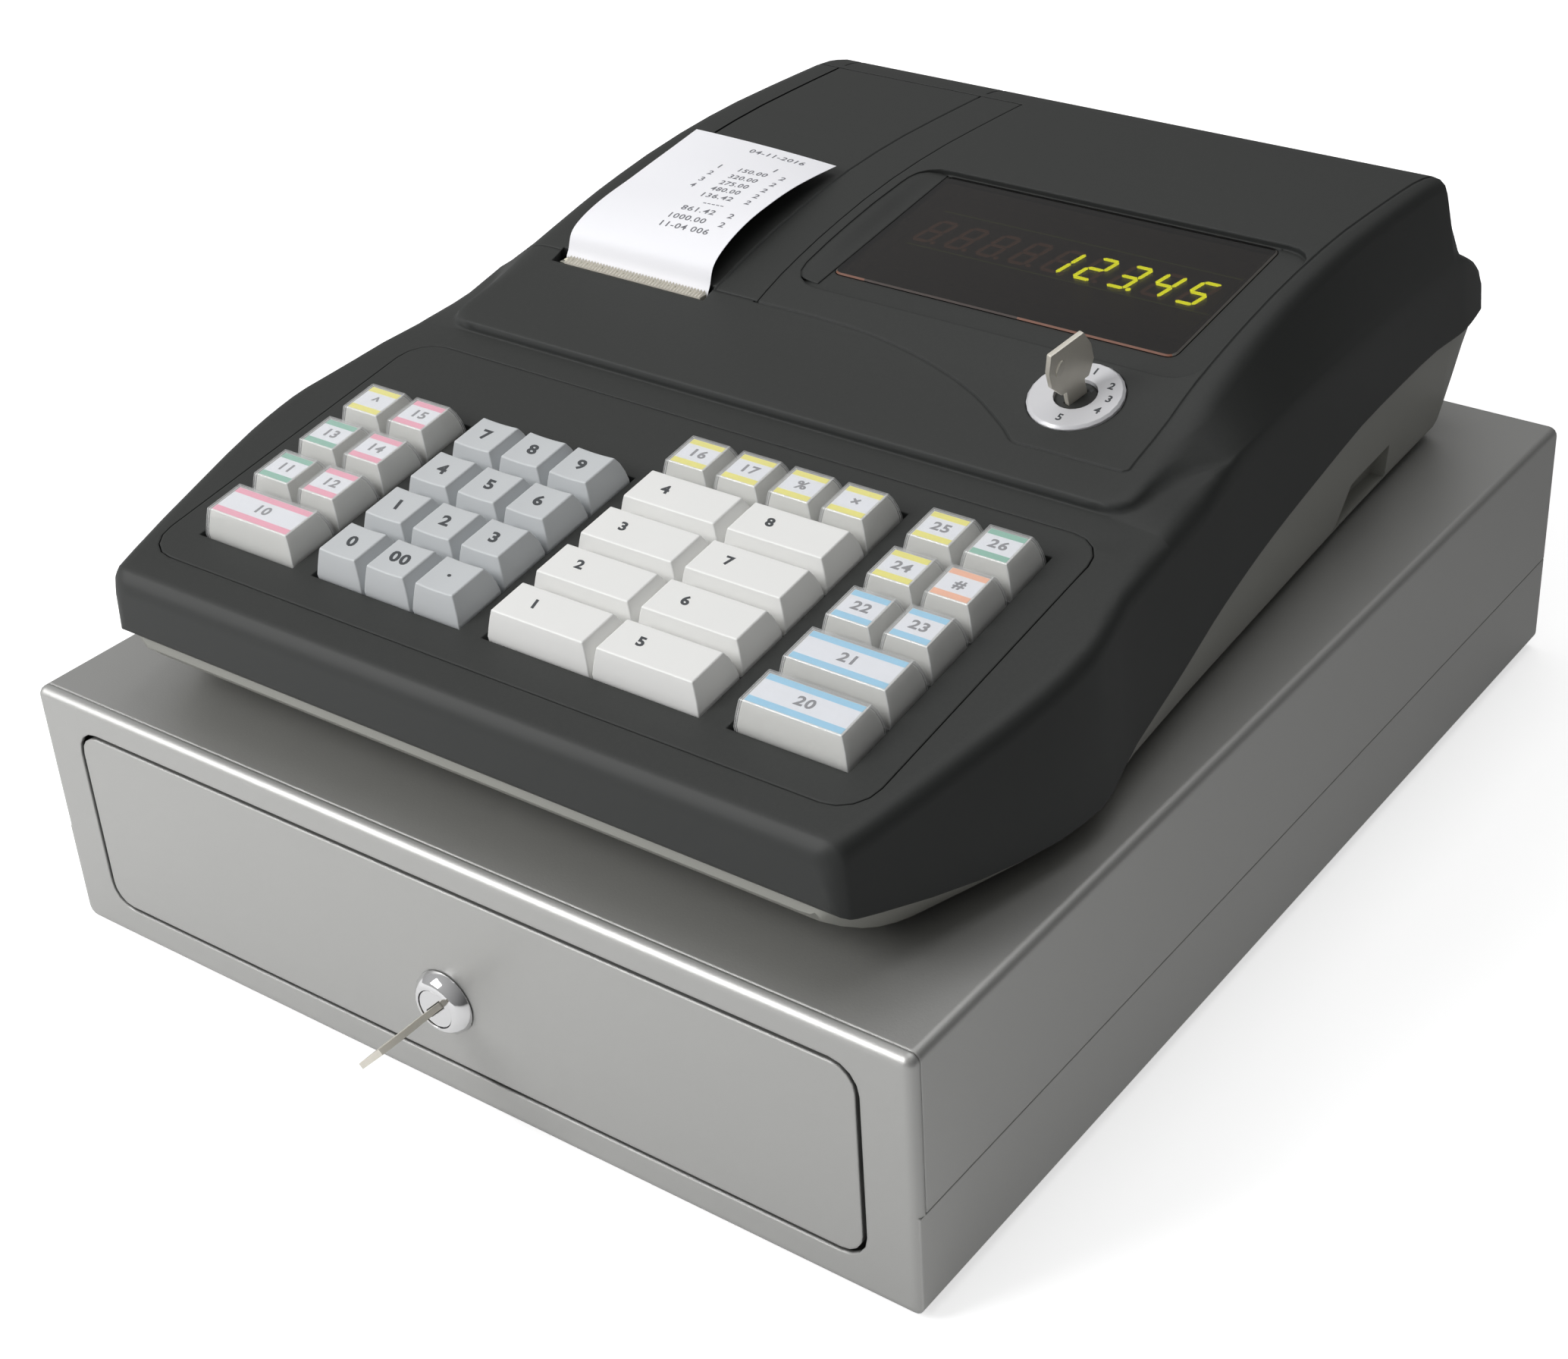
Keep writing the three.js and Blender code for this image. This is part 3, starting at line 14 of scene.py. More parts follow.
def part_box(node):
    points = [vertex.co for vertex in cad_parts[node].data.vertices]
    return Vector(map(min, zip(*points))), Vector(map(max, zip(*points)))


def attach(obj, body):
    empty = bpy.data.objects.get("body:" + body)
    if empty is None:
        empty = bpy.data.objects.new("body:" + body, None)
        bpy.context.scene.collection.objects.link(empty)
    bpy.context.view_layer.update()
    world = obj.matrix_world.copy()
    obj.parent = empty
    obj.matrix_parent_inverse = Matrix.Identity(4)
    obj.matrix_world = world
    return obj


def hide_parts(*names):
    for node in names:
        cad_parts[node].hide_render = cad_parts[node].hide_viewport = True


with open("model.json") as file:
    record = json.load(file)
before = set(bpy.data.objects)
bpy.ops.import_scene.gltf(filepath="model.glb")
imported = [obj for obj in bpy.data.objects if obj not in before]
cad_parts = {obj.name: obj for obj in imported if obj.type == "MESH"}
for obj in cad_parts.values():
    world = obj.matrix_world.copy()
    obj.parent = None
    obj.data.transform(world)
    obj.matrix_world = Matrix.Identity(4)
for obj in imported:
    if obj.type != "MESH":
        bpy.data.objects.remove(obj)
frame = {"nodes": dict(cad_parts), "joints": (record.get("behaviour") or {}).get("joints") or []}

LOG = logging.getLogger("ticket_register")
MM = 0.001
WELD = 1e-6
SMOOTH_ANGLE = math.radians(33)
FLAT_ANGLE = math.radians(0.3)
FONT_CAP_SHARE = 0.73
LETTER_SPACING = 1.12
FONT_STEPS = 3
FACES_DOWN = -0.9
EDGE_SAMPLES = 4
GROOVE_RADIUS = 0.45 * MM
GROOVE_STEP = 1.6 * MM
RAY_START = 0.3
DOWN = Vector((0, 0, -1))
WHITE = (1, 1, 1, 1)

Point = tuple[float, float, float]


class Slot(Enum):
    """The record's material slots."""

    PAINTED_STEEL = "painted_steel"
    TRAY_PLASTIC = "tray_plastic"
    GREY_PLASTIC = "grey_plastic"
    CHROME = "chrome"
    KEY_STEEL = "key_steel"
    DARK_PLASTIC = "dark_plastic"
    ZINC_STEEL = "zinc_steel"
    PAPER = "paper"
    SMOKED_ACRYLIC = "smoked_acrylic"
    SILVER_PLASTIC = "silver_plastic"
    NUMBER_KEYS = "number_key_plastic"
    PALE_KEYS = "pale_key_plastic"


class Ink(Enum):
    """Colours of the printed bars and legends, as written in sRGB."""

    YELLOW = "f3ea4e"
    PINK = "f59ab5"
    GREEN = "6fb8a0"
    BLUE = "8fd0f0"
    ORANGE = "f9b48a"
    LEGEND_GREY = "6d6d75"
    DIGIT_GREY = "484b4e"
    RECEIPT_GREY = "808187"


def linear(colour: str) -> tuple[float, float, float, float]:
    """Turns an sRGB colour into the linear values that a shader socket takes.

    Args:
        colour: Six hexadecimal digits.

    Returns:
        Red, green, blue and an alpha of 1.
    """
    parts = [int(colour[i:i + 2], 16) / 255 for i in (0, 2, 4)]
    red, green, blue = (p / 12.92 if p <= 0.04045 else ((p + 0.055) / 1.055) ** 2.4
                        for p in parts)
    return red, green, blue, 1.0


def dimmed(shade: Sequence[float], share: float) -> tuple[float, float, float, float]:
    """Returns a linear colour at a share of its brightness."""
    red, green, blue = (part * share for part in shade[:3])
    return red, green, blue, 1.0


def between(low: float, high: float, share: float) -> float:
    """Returns the value at a share of the way from low to high."""
    return low + share * (high - low)


def clamped(share: float) -> float:
    """Keeps a share between 0 and 1."""
    return min(max(share, 0.0), 1.0)


def eased(share: float) -> float:
    """Returns a share that starts and ends gently."""
    return share * share * (3 - 2 * share)


def turned(degrees: float, axis: str) -> Matrix:
    """Returns a rotation about an axis."""
    return Matrix.Rotation(math.radians(degrees), 4, axis)


def assign(target, **settings) -> None:
    """Sets several properties of a target."""
    for name, value in settings.items():
        setattr(target, name, value)


# Node trees and shared effects


class Graph:
    """Adds nodes to a tree and links them."""

    def __init__(self, tree: bpy.types.NodeTree) -> None:
        """Keeps the tree that nodes are added to."""
        self.tree = tree

    def feed(self, node: bpy.types.Node, inputs: dict) -> None:
        """Gives a node its inputs.

        Args:
            node: The node that takes them.
            inputs: Socket name or number, to a value or to the output that feeds it.
        """
        for name, value in inputs.items():
            if isinstance(value, bpy.types.NodeSocket):
                self.tree.links.new(value, node.inputs[name])
            else:
                node.inputs[name].default_value = value

    def add(self, kind: str, inputs: Optional[dict] = None, **settings) -> bpy.types.Node:
        """Adds one node.

        Args:
            kind: The node's type name.
            inputs: Its inputs, as feed takes them.
            **settings: The node's own settings.

        Returns:
            The new node.
        """
        node = self.tree.nodes.new(kind)
        assign(node, **settings)
        self.feed(node, inputs or {})
        return node

    def math(self, operation: str, *values) -> bpy.types.NodeSocket:
        """Adds a Math node over the given values or outputs and returns its output."""
        inputs = dict(enumerate(values))
        return self.add("ShaderNodeMath", inputs, operation=operation).outputs[0]

    def dot(self, first, second) -> bpy.types.NodeSocket:
        """Adds a dot product of two vectors and returns its output."""
        node = self.add("ShaderNodeVectorMath", {0: first, 1: second}, operation="DOT_PRODUCT")
        return node.outputs["Value"]

    def mix(self, factor, first, second) -> bpy.types.NodeSocket:
        """Adds a colour mix and returns its output."""
        node = self.add("ShaderNodeMix", {0: factor, 6: first, 7: second}, data_type="RGBA")
        return node.outputs[2]

    def blend(self, factor, first, second) -> bpy.types.NodeSocket:
        """Adds a mix of two numbers and returns its output."""
        node = self.add("ShaderNodeMix", {0: factor, 2: first, 3: second}, data_type="FLOAT")
        return node.outputs[0]

    def ramp(self, value, limits: Sequence[float]) -> bpy.types.NodeSocket:
        """Maps a value from the first two limits to the last two and returns the output."""
        labels = ("From Min", "From Max", "To Min", "To Max")
        inputs = {"Value": value, **dict(zip(labels, limits))}
        return self.add("ShaderNodeMapRange", inputs).outputs[0]

    def noise(self, vector, scale, detail: float = 3.0,
              roughness: float = 0.6) -> bpy.types.NodeSocket:
        """Adds a noise texture and returns its value output."""
        inputs = {"Vector": vector, "Scale": scale, "Detail": detail, "Roughness": roughness}
        return self.add("ShaderNodeTexNoise", inputs).outputs["Fac"]

    def rounding(self, radius) -> bpy.types.NodeSocket:
        """Adds a bevel and returns the normal that it gives."""
        return self.add("ShaderNodeBevel", {"Radius": radius}, samples=EDGE_SAMPLES).outputs[0]

    def bump(self, height, distance: float, **inputs) -> bpy.types.NodeSocket:
        """Adds a bump and returns the normal that it gives."""
        inputs = {"Height": height, "Distance": distance, **inputs}
        return self.add("ShaderNodeBump", inputs).outputs[0]

    def effect(self, name: str, **inputs) -> bpy.types.bpy_prop_collection:
        """Adds one of the shared effects and returns its outputs."""
        return self.add("ShaderNodeGroup", inputs, node_tree=Effects.group(name)).outputs


class Effects:
    """Shader node groups that several finishes share, each built once."""

    KINDS = {"Vector": "NodeSocketVector", "Normal": "NodeSocketVector",
             "Color": "NodeSocketColor", "Worn": "NodeSocketColor"}
    NUMBER = "NodeSocketFloat"
    WEAR_SCALE = 400.0
    DUST_SCALE = 900.0
    DUST_SLOPE = 0.4
    DUST_COLOUR = "b9b6ae"

    @classmethod
    def group(cls, name: str) -> bpy.types.NodeTree:
        """Returns a group, built at its first use by the method of the same name."""
        return bpy.data.node_groups.get(name) or getattr(cls, name)()

    @classmethod
    def begun(cls, name: str, inputs: str, outputs: str):
        """Starts a group.

        Args:
            name: The group's name.
            inputs: The names of its input sockets.
            outputs: The names of its output sockets.

        Returns:
            The group's graph, the values that it is given and the node of its results.
        """
        tree = bpy.data.node_groups.new(name, "ShaderNodeTree")
        for way, labels in (("INPUT", inputs), ("OUTPUT", outputs)):
            for label in labels.split():
                kind = cls.KINDS.get(label, cls.NUMBER)
                tree.interface.new_socket(name=label, in_out=way, socket_type=kind)
        graph = Graph(tree)
        return graph, graph.add("NodeGroupInput").outputs, graph.add("NodeGroupOutput")

    @classmethod
    def fine_grain(cls) -> bpy.types.NodeTree:
        """The height of a fine pitted grain."""
        graph, given, result = cls.begun("fine_grain", "Vector Scale Pits", "Height")
        vector, scale = given["Vector"], given["Scale"]
        swirl = graph.noise(vector, scale, roughness=0.65)
        cells = graph.add("ShaderNodeTexVoronoi", {"Vector": vector, "Scale": scale}).outputs[0]
        pits = graph.math("MULTIPLY", cells, given["Pits"])
        graph.feed(result, {"Height": graph.math("SUBTRACT", swirl, pits)})
        return graph.tree

    @classmethod
    def tone_variation(cls) -> bpy.types.NodeTree:
        """Slow changes of colour and roughness over a surface."""
        graph, given, result = cls.begun(
            "tone_variation", "Vector Color Roughness Scale Amount", "Color Roughness")
        cloud = graph.noise(given["Vector"], given["Scale"], detail=4.0)
        offset = graph.math("MULTIPLY", graph.math("SUBTRACT", cloud, 0.5), given["Amount"])
        inputs = {0: given["Color"], "Scale": graph.math("ADD", offset, 1.0)}
        scaled = graph.add("ShaderNodeVectorMath", inputs, operation="SCALE")
        graph.feed(result, {"Color": scaled.outputs[0],
                            "Roughness": graph.math("ADD", given["Roughness"], offset)})
        return graph.tree

    @classmethod
    def edge_wear(cls) -> bpy.types.NodeTree:
        """A mask of worn edges, partly real wear and partly painted highlight, and a normal that
        softens them.
        """
        graph, given, result = cls.begun(
            "edge_wear", "Vector Color Worn Radius Amount", "Color Mask Normal")
        rounded = graph.rounding(given["Radius"])
        flat = graph.add("ShaderNodeNewGeometry").outputs["Normal"]
        edge = graph.math("SUBTRACT", 1.0, graph.dot(rounded, flat))
        patches = graph.noise(given["Vector"], cls.WEAR_SCALE, roughness=0.7)
        # Lighter edges: partly wear, partly a painted highlight along the rounded edges.
        strong = graph.math("MULTIPLY", graph.math("MULTIPLY", edge, patches), given["Amount"])
        mask = graph.math("MINIMUM", strong, 1.0)
        graph.feed(result, {"Color": graph.mix(mask, given["Color"], given["Worn"]),
                            "Mask": mask, "Normal": rounded})
        return graph.tree

    @classmethod
    def settled_dust(cls) -> bpy.types.NodeTree:
        """Thin dust that settles on what faces up."""
        graph, given, result = cls.begun(
            "settled_dust", "Vector Color Roughness Amount", "Color Roughness")
        normal = graph.add("ShaderNodeNewGeometry").outputs["Normal"]
        height = graph.add("ShaderNodeSeparateXYZ", {0: normal}).outputs["Z"]
        upward = graph.math("MAXIMUM", graph.math("SUBTRACT", height, cls.DUST_SLOPE), 0.0)
        specks = graph.noise(given["Vector"], cls.DUST_SCALE, detail=5.0, roughness=0.7)
        mask = graph.math("MULTIPLY", graph.math("MULTIPLY", upward, specks), given["Amount"])
        graph.feed(result, {"Color": graph.mix(mask, given["Color"], linear(cls.DUST_COLOUR)),
                            "Roughness": graph.math("ADD", given["Roughness"], mask)})
        return graph.tree


def started_material(name: str):
    """Starts a material.

    Args:
        name: The material's name.

    Returns:
        The material, its graph, its shader and the object coordinates.
    """
    made = bpy.data.materials.new(name)
    made.use_nodes = True
    graph = Graph(made.node_tree)
    place = graph.add("ShaderNodeTexCoord").outputs["Object"]
    return made, graph, made.node_tree.nodes["Principled BSDF"], place


@dataclass(frozen=True)
class Finish:
    """What every finish has: a name and a record slot.

    Scales are per metre, and depths and radii are in metres.
    """

    name: str
    slot: Slot

    def material(self) -> bpy.types.Material:
        """Returns the finish's material, built at its first use."""
        return bpy.data.materials.get(self.name) or self.build()

    def build(self) -> bpy.types.Material:
        """Builds the material."""
        made, graph, shader, place = started_material(self.name)
        graph.feed(shader, self.inputs(graph, place))
        return made

    def inputs(self, graph: Graph, place: bpy.types.NodeSocket) -> dict:
        """Returns what feeds the shader; each finish has its own way."""
        raise NotImplementedError


@dataclass(frozen=True)
class Surface(Finish):
    """A solid surface: moulded plastic, coated or plated metal."""

    colour: str
    worn: str = "8c8c8c"
    roughness: float = 0.55
    metallic: float = 0.0
    specular: float = 0.5
    grain_scale: float = 2400.0
    grain_depth: float = 0.00003
    pits: float = 0.4
    tone: float = 0.05
    tone_scale: float = 14.0
    edge_radius: float = 0.0004
    wear: float = 0.6
    dust: float = 0.12
    coat: float = 0.0
    coat_roughness: float = 0.1

    def inputs(self, graph: Graph, place: bpy.types.NodeSocket) -> dict:
        """Makes the surface from tone, edge wear with a painted edge highlight, dust and grain."""
        tone = graph.effect("tone_variation", Vector=place, Color=linear(self.colour),
                            Roughness=self.roughness, Scale=self.tone_scale, Amount=self.tone)
        # The worn colour lightens the edges: partly wear, partly painted highlight.
        edge = graph.effect("edge_wear", Vector=place, Color=tone["Color"],
                            Worn=linear(self.worn), Radius=self.edge_radius, Amount=self.wear)
        dust = graph.effect("settled_dust", Vector=place, Color=edge["Color"],
                            Roughness=tone["Roughness"], Amount=self.dust)
        grain = graph.effect("fine_grain", Vector=place, Scale=self.grain_scale, Pits=self.pits)
        normal = graph.bump(grain["Height"], self.grain_depth, Normal=edge["Normal"], Strength=1.0)
        return {"Base Color": dust["Color"], "Roughness": dust["Roughness"], "Normal": normal,
                "Metallic": self.metallic, "Specular IOR Level": self.specular,
                "Coat Weight": self.coat, "Coat Roughness": self.coat_roughness}


@dataclass(frozen=True)
class BrushedMetal(Finish):
    """Metal with fine lines along one axis of the part."""

    colour: str
    roughness: float = 0.3
    stretch: Point = (60.0, 3000.0, 3000.0)
    depth: float = 0.00001
    metallic: float = 1.0
    smudge: str = "d8d4c8"
    smudge_scale: float = 120.0
    smudge_roughness: float = 0.25
    edge_radius: float = 0.0002

    def inputs(self, graph: Graph, place: bpy.types.NodeSocket) -> dict:
        """Makes the metal from stretched noise, with smudges."""
        lines = graph.add("ShaderNodeMapping", {"Vector": place, "Scale": self.stretch}).outputs[0]
        streak = graph.noise(lines, 1.0)
        smudge = graph.noise(place, self.smudge_scale)
        centred = graph.math("SUBTRACT", smudge, 0.5)
        uneven = graph.math("MULTIPLY", centred, self.smudge_roughness)
        return {"Base Color": graph.mix(smudge, linear(self.colour), linear(self.smudge)),
                "Roughness": graph.math("ADD", uneven, self.roughness),
                "Normal": graph.bump(streak, self.depth, Normal=graph.rounding(self.edge_radius)),
                "Metallic": self.metallic}


@dataclass(frozen=True)
class ClearSheet(Finish):
    """See-through plastic, clear or smoked."""

    colour: str
    roughness: float = 0.03
    transmission: float = 1.0
    specular: float = 0.33
    ior: float = 1.49
    mark_scale: float = 260.0
    mark_depth: float = 0.04

    def inputs(self, graph: Graph, place: bpy.types.NodeSocket) -> dict:
        """Makes the sheet with faint wiping marks."""
        marks = graph.noise(place, self.mark_scale, detail=5.0, roughness=0.7)
        varied = graph.math("ADD", graph.math("MULTIPLY", marks, self.mark_depth), self.roughness)
        return {"Roughness": varied, "Base Color": linear(self.colour), "IOR": self.ior,
                "Transmission Weight": self.transmission, "Specular IOR Level": self.specular}


@dataclass(frozen=True)
class ThinCover(Finish):
    """A thin clear key cover: nearly invisible face on, glossy, with a painted reflection that
    grows towards grazing angles and painted glints at its edges.
    """

    colour: str = "f4f5f5"
    least: float = 0.07
    most: float = 0.75
    facing_blend: float = 0.35
    sharpness: float = 2.2
    rim: float = 0.9
    rim_radius: float = 0.0006
    rim_gain: float = 16.0
    mark_scale: float = 700.0
    mark_share: float = 0.05
    roughness: float = 0.06
    gloss: float = 1.0

    def inputs(self, graph: Graph, place: bpy.types.NodeSocket) -> dict:
        """Makes the cover with an alpha that grows towards grazing angles and at its rims, so that
        its pale colour shows as painted reflection and glints.
        """
        facing = graph.add("ShaderNodeLayerWeight", {"Blend": self.facing_blend}).outputs["Facing"]
        sharp = graph.math("POWER", facing, self.sharpness)
        fine = graph.noise(place, self.mark_scale, detail=4.0, roughness=0.7)
        marks = graph.math("MULTIPLY", fine, self.mark_share)
        edge = graph.effect("edge_wear", Vector=place, Radius=self.rim_radius,
                            Amount=self.rim_gain)
        # Painted reflection and glints: the pale cover grows opaque at grazing angles and along
        # its rims.
        alpha = graph.math("ADD", graph.math("MULTIPLY", sharp, self.most), self.least)
        rim = graph.math("MULTIPLY", edge["Mask"], self.rim)
        return {"Alpha": graph.math("ADD", graph.math("ADD", alpha, rim), marks),
                "Roughness": graph.math("ADD", marks, self.roughness),
                "Base Color": linear(self.colour), "Specular IOR Level": self.gloss,
                "Coat Weight": self.gloss}


@dataclass(frozen=True)
class Print(Finish):
    """Printing ink or paper: matte, with a slight unevenness."""

    colour: str
    uneven: float = 0.08
    fibre_scale: float = 5000.0
    roughness: float = 0.7
    fibre_depth: float = 0.00001
    fibre_strength: float = 0.6

    def inputs(self, graph: Graph, place: bpy.types.NodeSocket) -> dict:
        """Makes the ink or paper."""
        fibres = graph.noise(place, self.fibre_scale, detail=4.0, roughness=0.7)
        shade = linear(self.colour)
        return {"Base Color": graph.mix(fibres, dimmed(shade, 1 - self.uneven), shade),
                "Normal": graph.bump(fibres, self.fibre_depth, Strength=self.fibre_strength),
                "Roughness": self.roughness}


@dataclass(frozen=True)
class Glow(Finish):
    """What glows in the display or its window, strongly or faintly; the glow of the window's front
    edge and of the unlit segments is painted light.
    """

    colour: str
    light: str
    strength: float
    grain_scale: float = 3000.0
    dim_share: float = 0.8
    roughness: float = 0.6

    def inputs(self, graph: Graph, place: bpy.types.NodeSocket) -> dict:
        """Makes the glow, with a fine grain in its brightness."""
        grain = graph.noise(place, self.grain_scale, detail=2.0, roughness=0.5)
        lit = linear(self.light)
        return {"Emission Color": graph.mix(grain, dimmed(lit, self.dim_share), lit),
                "Emission Strength": self.strength, "Base Color": linear(self.colour),
                "Roughness": self.roughness}


def cap_moulding(name: str, slot: Slot, colour: str, worn: str, roughness: float,
                 grain_depth: float = 0.000006, dust: float = 0.03) -> Surface:
    """Returns the finish of one kind of key cap."""
    return Surface(name, slot, colour, worn=worn, roughness=roughness, grain_scale=4200.0,
                   grain_depth=grain_depth, tone=0.03, tone_scale=60.0, edge_radius=0.0002,
                   wear=0.5, dust=dust)


class Finishes:
    """The finishes of the register."""

    # The steel's lighter edge colour is partly wear and partly a painted highlight along its
    # rounded edges.
    steel = Surface("coated_steel", Slot.PAINTED_STEEL, "b8b8b6", worn="cfcfcd", roughness=0.43,
                    metallic=0.8, grain_scale=1500.0, pits=0.3, tone=0.06, tone_scale=9.0,
                    edge_radius=0.001, wear=0.3, dust=0.05)
    shell = Surface("black_moulding", Slot.DARK_PLASTIC, "282a29", worn="525453", specular=0.42,
                    grain_scale=2600.0, grain_depth=0.00002, tone=0.06, edge_radius=0.001,
                    wear=0.8, dust=0.05)
    base = Surface("grey_moulding", Slot.GREY_PLASTIC, "94948e", worn="b0b0aa", roughness=0.45,
                   dust=0.03)
    tray = Surface("tray_moulding", Slot.TRAY_PLASTIC, "202020", worn="4a4a4a", roughness=0.5,
                   wear=1.5)
    clip = Surface("clip_moulding", Slot.GREY_PLASTIC, "8b8b86", roughness=0.5)
    number_cap = cap_moulding("number_cap_moulding", Slot.NUMBER_KEYS, "c6c9cb", "dfe1e2", 0.5,
                              grain_depth=0.00001)
    pale_cap = cap_moulding("pale_cap_moulding", Slot.PALE_KEYS, "ebebe9", "f5f5f3", 0.42)
    label_cap = cap_moulding("label_cap_moulding", Slot.PALE_KEYS, "dededa", "eeeeea", 0.4,
                             dust=0.02)
    dial = Surface("dial_moulding", Slot.SILVER_PLASTIC, "d6d6d9", worn="ececf0", roughness=0.3,
                   metallic=0.15, grain_scale=5200.0, grain_depth=0.000006, tone=0.03, dust=0.02,
                   coat=0.3)
    chrome = Surface("bright_chrome", Slot.CHROME, "e3e3e4", worn="f2f2f2", roughness=0.08,
                     metallic=1.0, grain_scale=900.0, grain_depth=0.000002, tone=0.04,
                     tone_scale=90.0, wear=0.4, dust=0.03)
    nickel = BrushedMetal("nickel_key", Slot.KEY_STEEL, "e4dfd4", roughness=0.36, metallic=0.45)
    zinc = BrushedMetal("zinc_sheet", Slot.ZINC_STEEL, "a8a89e", roughness=0.38)
    tear_steel = BrushedMetal("tear_bar_steel", Slot.ZINC_STEEL, "cdc7ba", roughness=0.5,
                              metallic=0.3)
    window = ClearSheet("smoked_window", Slot.SMOKED_ACRYLIC, "4f463f", roughness=0.02)
    cover = ThinCover("clear_key_cover", Slot.PALE_KEYS)
    paper = Print("thermal_paper", Slot.PAPER, "f7f7fb", uneven=0.05, fibre_scale=3800.0,
                  roughness=0.62)
    label = Print("label_paper", Slot.PALE_KEYS, "eceef4", uneven=0.04)
    legend = Print("label_ink", Slot.PALE_KEYS, Ink.LEGEND_GREY.value)
    digit = Print("digit_ink", Slot.NUMBER_KEYS, Ink.DIGIT_GREY.value)
    receipt_ink = Print("thermal_ink", Slot.PAPER, Ink.RECEIPT_GREY.value, uneven=0.3)
    glass = Print("display_glass", Slot.SMOKED_ACRYLIC, "0d0b09", uneven=0.4, fibre_scale=900.0,
                  roughness=0.35)
    lit = Glow("lit_segment", Slot.SMOKED_ACRYLIC, "d8e020", "dcf41c", 13.0)
    # The unlit segments are no lamp: their faint glow is painted light.
    unlit = Glow("unlit_segment_painted_glow", Slot.SMOKED_ACRYLIC, "4a3b31", "6b5041", 2.2)
    # Painted glint along the window's front edge, dimmer over part of its length, and a painted
    # highlight on its side edges; the window is no lamp.
    window_front = Glow("window_front_painted_glint", Slot.SMOKED_ACRYLIC, "5b3c2e", "a86a50", 0.2)
    window_front_dim = Glow("window_front_dim", Slot.SMOKED_ACRYLIC, "2e221c", "5b3c2e", 0.05)
    window_rim = Print("window_rim", Slot.SMOKED_ACRYLIC, "6b6864", uneven=0.2,
                       fibre_scale=300.0, roughness=0.3)
    frame_line = Glow("display_frame_line", Slot.SMOKED_ACRYLIC, "3d4a2c", "7c9a40", 0.8)

    @staticmethod
    def bar(ink: Ink) -> Print:
        """Returns the printed bar of a label in one colour."""
        return Print(f"label_bar_{ink.name.lower()}", Slot.PALE_KEYS, ink.value, uneven=0.05)


# Modelling by hand, in code


def deselect() -> None:
    """Leaves edit mode and deselects everything."""
    if bpy.context.mode != "OBJECT":
        bpy.ops.object.mode_set(mode="OBJECT")
    bpy.ops.object.select_all(action="DESELECT")


def activate(*pieces: bpy.types.Object) -> None:
    """Selects only these pieces and makes the first one active."""
    deselect()
    for piece in pieces:
        piece.select_set(True)
    bpy.context.view_layer.objects.active = pieces[0]


def linked(name: str, data: bpy.types.ID) -> bpy.types.Object:
    """Makes an object of its data and puts it in the scene."""
    made = bpy.data.objects.new(name, data)
    bpy.context.scene.collection.objects.link(made)
    return made


def edit(piece: bpy.types.Object) -> None:
    """Goes to edit mode with all of a piece selected."""
    activate(piece)
    bpy.ops.object.mode_set(mode="EDIT")
    bpy.ops.mesh.select_all(action="SELECT")


def started(name: str) -> bpy.types.Object:
    """Names the primitive that was just added, applies its place and returns it."""
    piece = bpy.context.active_object
    piece.name = name
    activate(piece)
    bpy.ops.object.transform_apply(location=True, rotation=True, scale=True)
    return piece


def add_box(name: str, low: Sequence[float], high: Sequence[float]) -> bpy.types.Object:
    """Adds a box between two corners, to be shaped further."""
    deselect()
    middle = [(a + b) / 2 for a, b in zip(low, high)]
    size = [b - a for a, b in zip(low, high)]
    bpy.ops.mesh.primitive_cube_add(size=1, location=middle, scale=size)
    return started(name)


def add_disc(name: str, sides: int, radius: float, depth: float,
             level: float = 0.0) -> bpy.types.Object:
    """Adds a short upright prism with its middle at a level, to be shaped further."""
    deselect()
    bpy.ops.mesh.primitive_cylinder_add(vertices=sides, radius=radius, depth=depth,
                                        location=(0, 0, level))
    return started(name)


def add_grid(name: str, columns: int, rows: int) -> bpy.types.Object:
    """Adds a flat grid from -0.5 to 0.5 both ways, to be shaped further."""
    deselect()
    bpy.ops.mesh.primitive_grid_add(x_subdivisions=columns, y_subdivisions=rows, size=1)
    return started(name)


def select_where(piece: bpy.types.Object, kind: str, items: Callable, test: Callable) -> None:
    """Goes to edit mode with only those items selected that pass a test.

    Args:
        piece: The piece to edit.
        kind: The select mode, "VERT" or "FACE".
        items: Returns the items of a mesh.
        test: Takes an item and returns whether it gets selected.
    """
    activate(piece)
    bpy.ops.object.mode_set(mode="EDIT")
    bpy.ops.mesh.select_mode(type=kind)
    bpy.ops.mesh.select_all(action="DESELECT")
    bpy.ops.object.mode_set(mode="OBJECT")
    for item in items(piece.data):
        item.select = test(item)
    bpy.ops.object.mode_set(mode="EDIT")


def select_vertices(piece: bpy.types.Object, test: Callable[[Vector], bool]) -> None:
    """Goes to edit mode with the vertices selected whose place passes a test."""
    select_where(piece, "VERT", lambda mesh: mesh.vertices, lambda vertex: test(vertex.co))


def select_faces(piece: bpy.types.Object, test: Callable[[bpy.types.MeshPolygon], bool]) -> None:
    """Goes to edit mode with the faces selected that pass a test."""
    select_where(piece, "FACE", lambda mesh: mesh.polygons, test)


def push(piece: bpy.types.Object, test: Callable[[Vector], bool],
         offset: Sequence[float]) -> None:
    """Moves the vertices that pass a test."""
    select_vertices(piece, test)
    bpy.ops.transform.translate(value=offset)
    deselect()


def slice_at(piece: bpy.types.Object, places: Iterable[float], axis: int) -> None:
    """Cuts new edges round a piece where it crosses planes square to an axis."""
    activate(piece)
    bpy.ops.object.mode_set(mode="EDIT")
    for place in places:
        point, normal = [0.0] * 3, [0.0] * 3
        point[axis], normal[axis] = place, 1.0
        bpy.ops.mesh.select_all(action="SELECT")
        bpy.ops.mesh.bisect(plane_co=point, plane_no=normal)
    deselect()


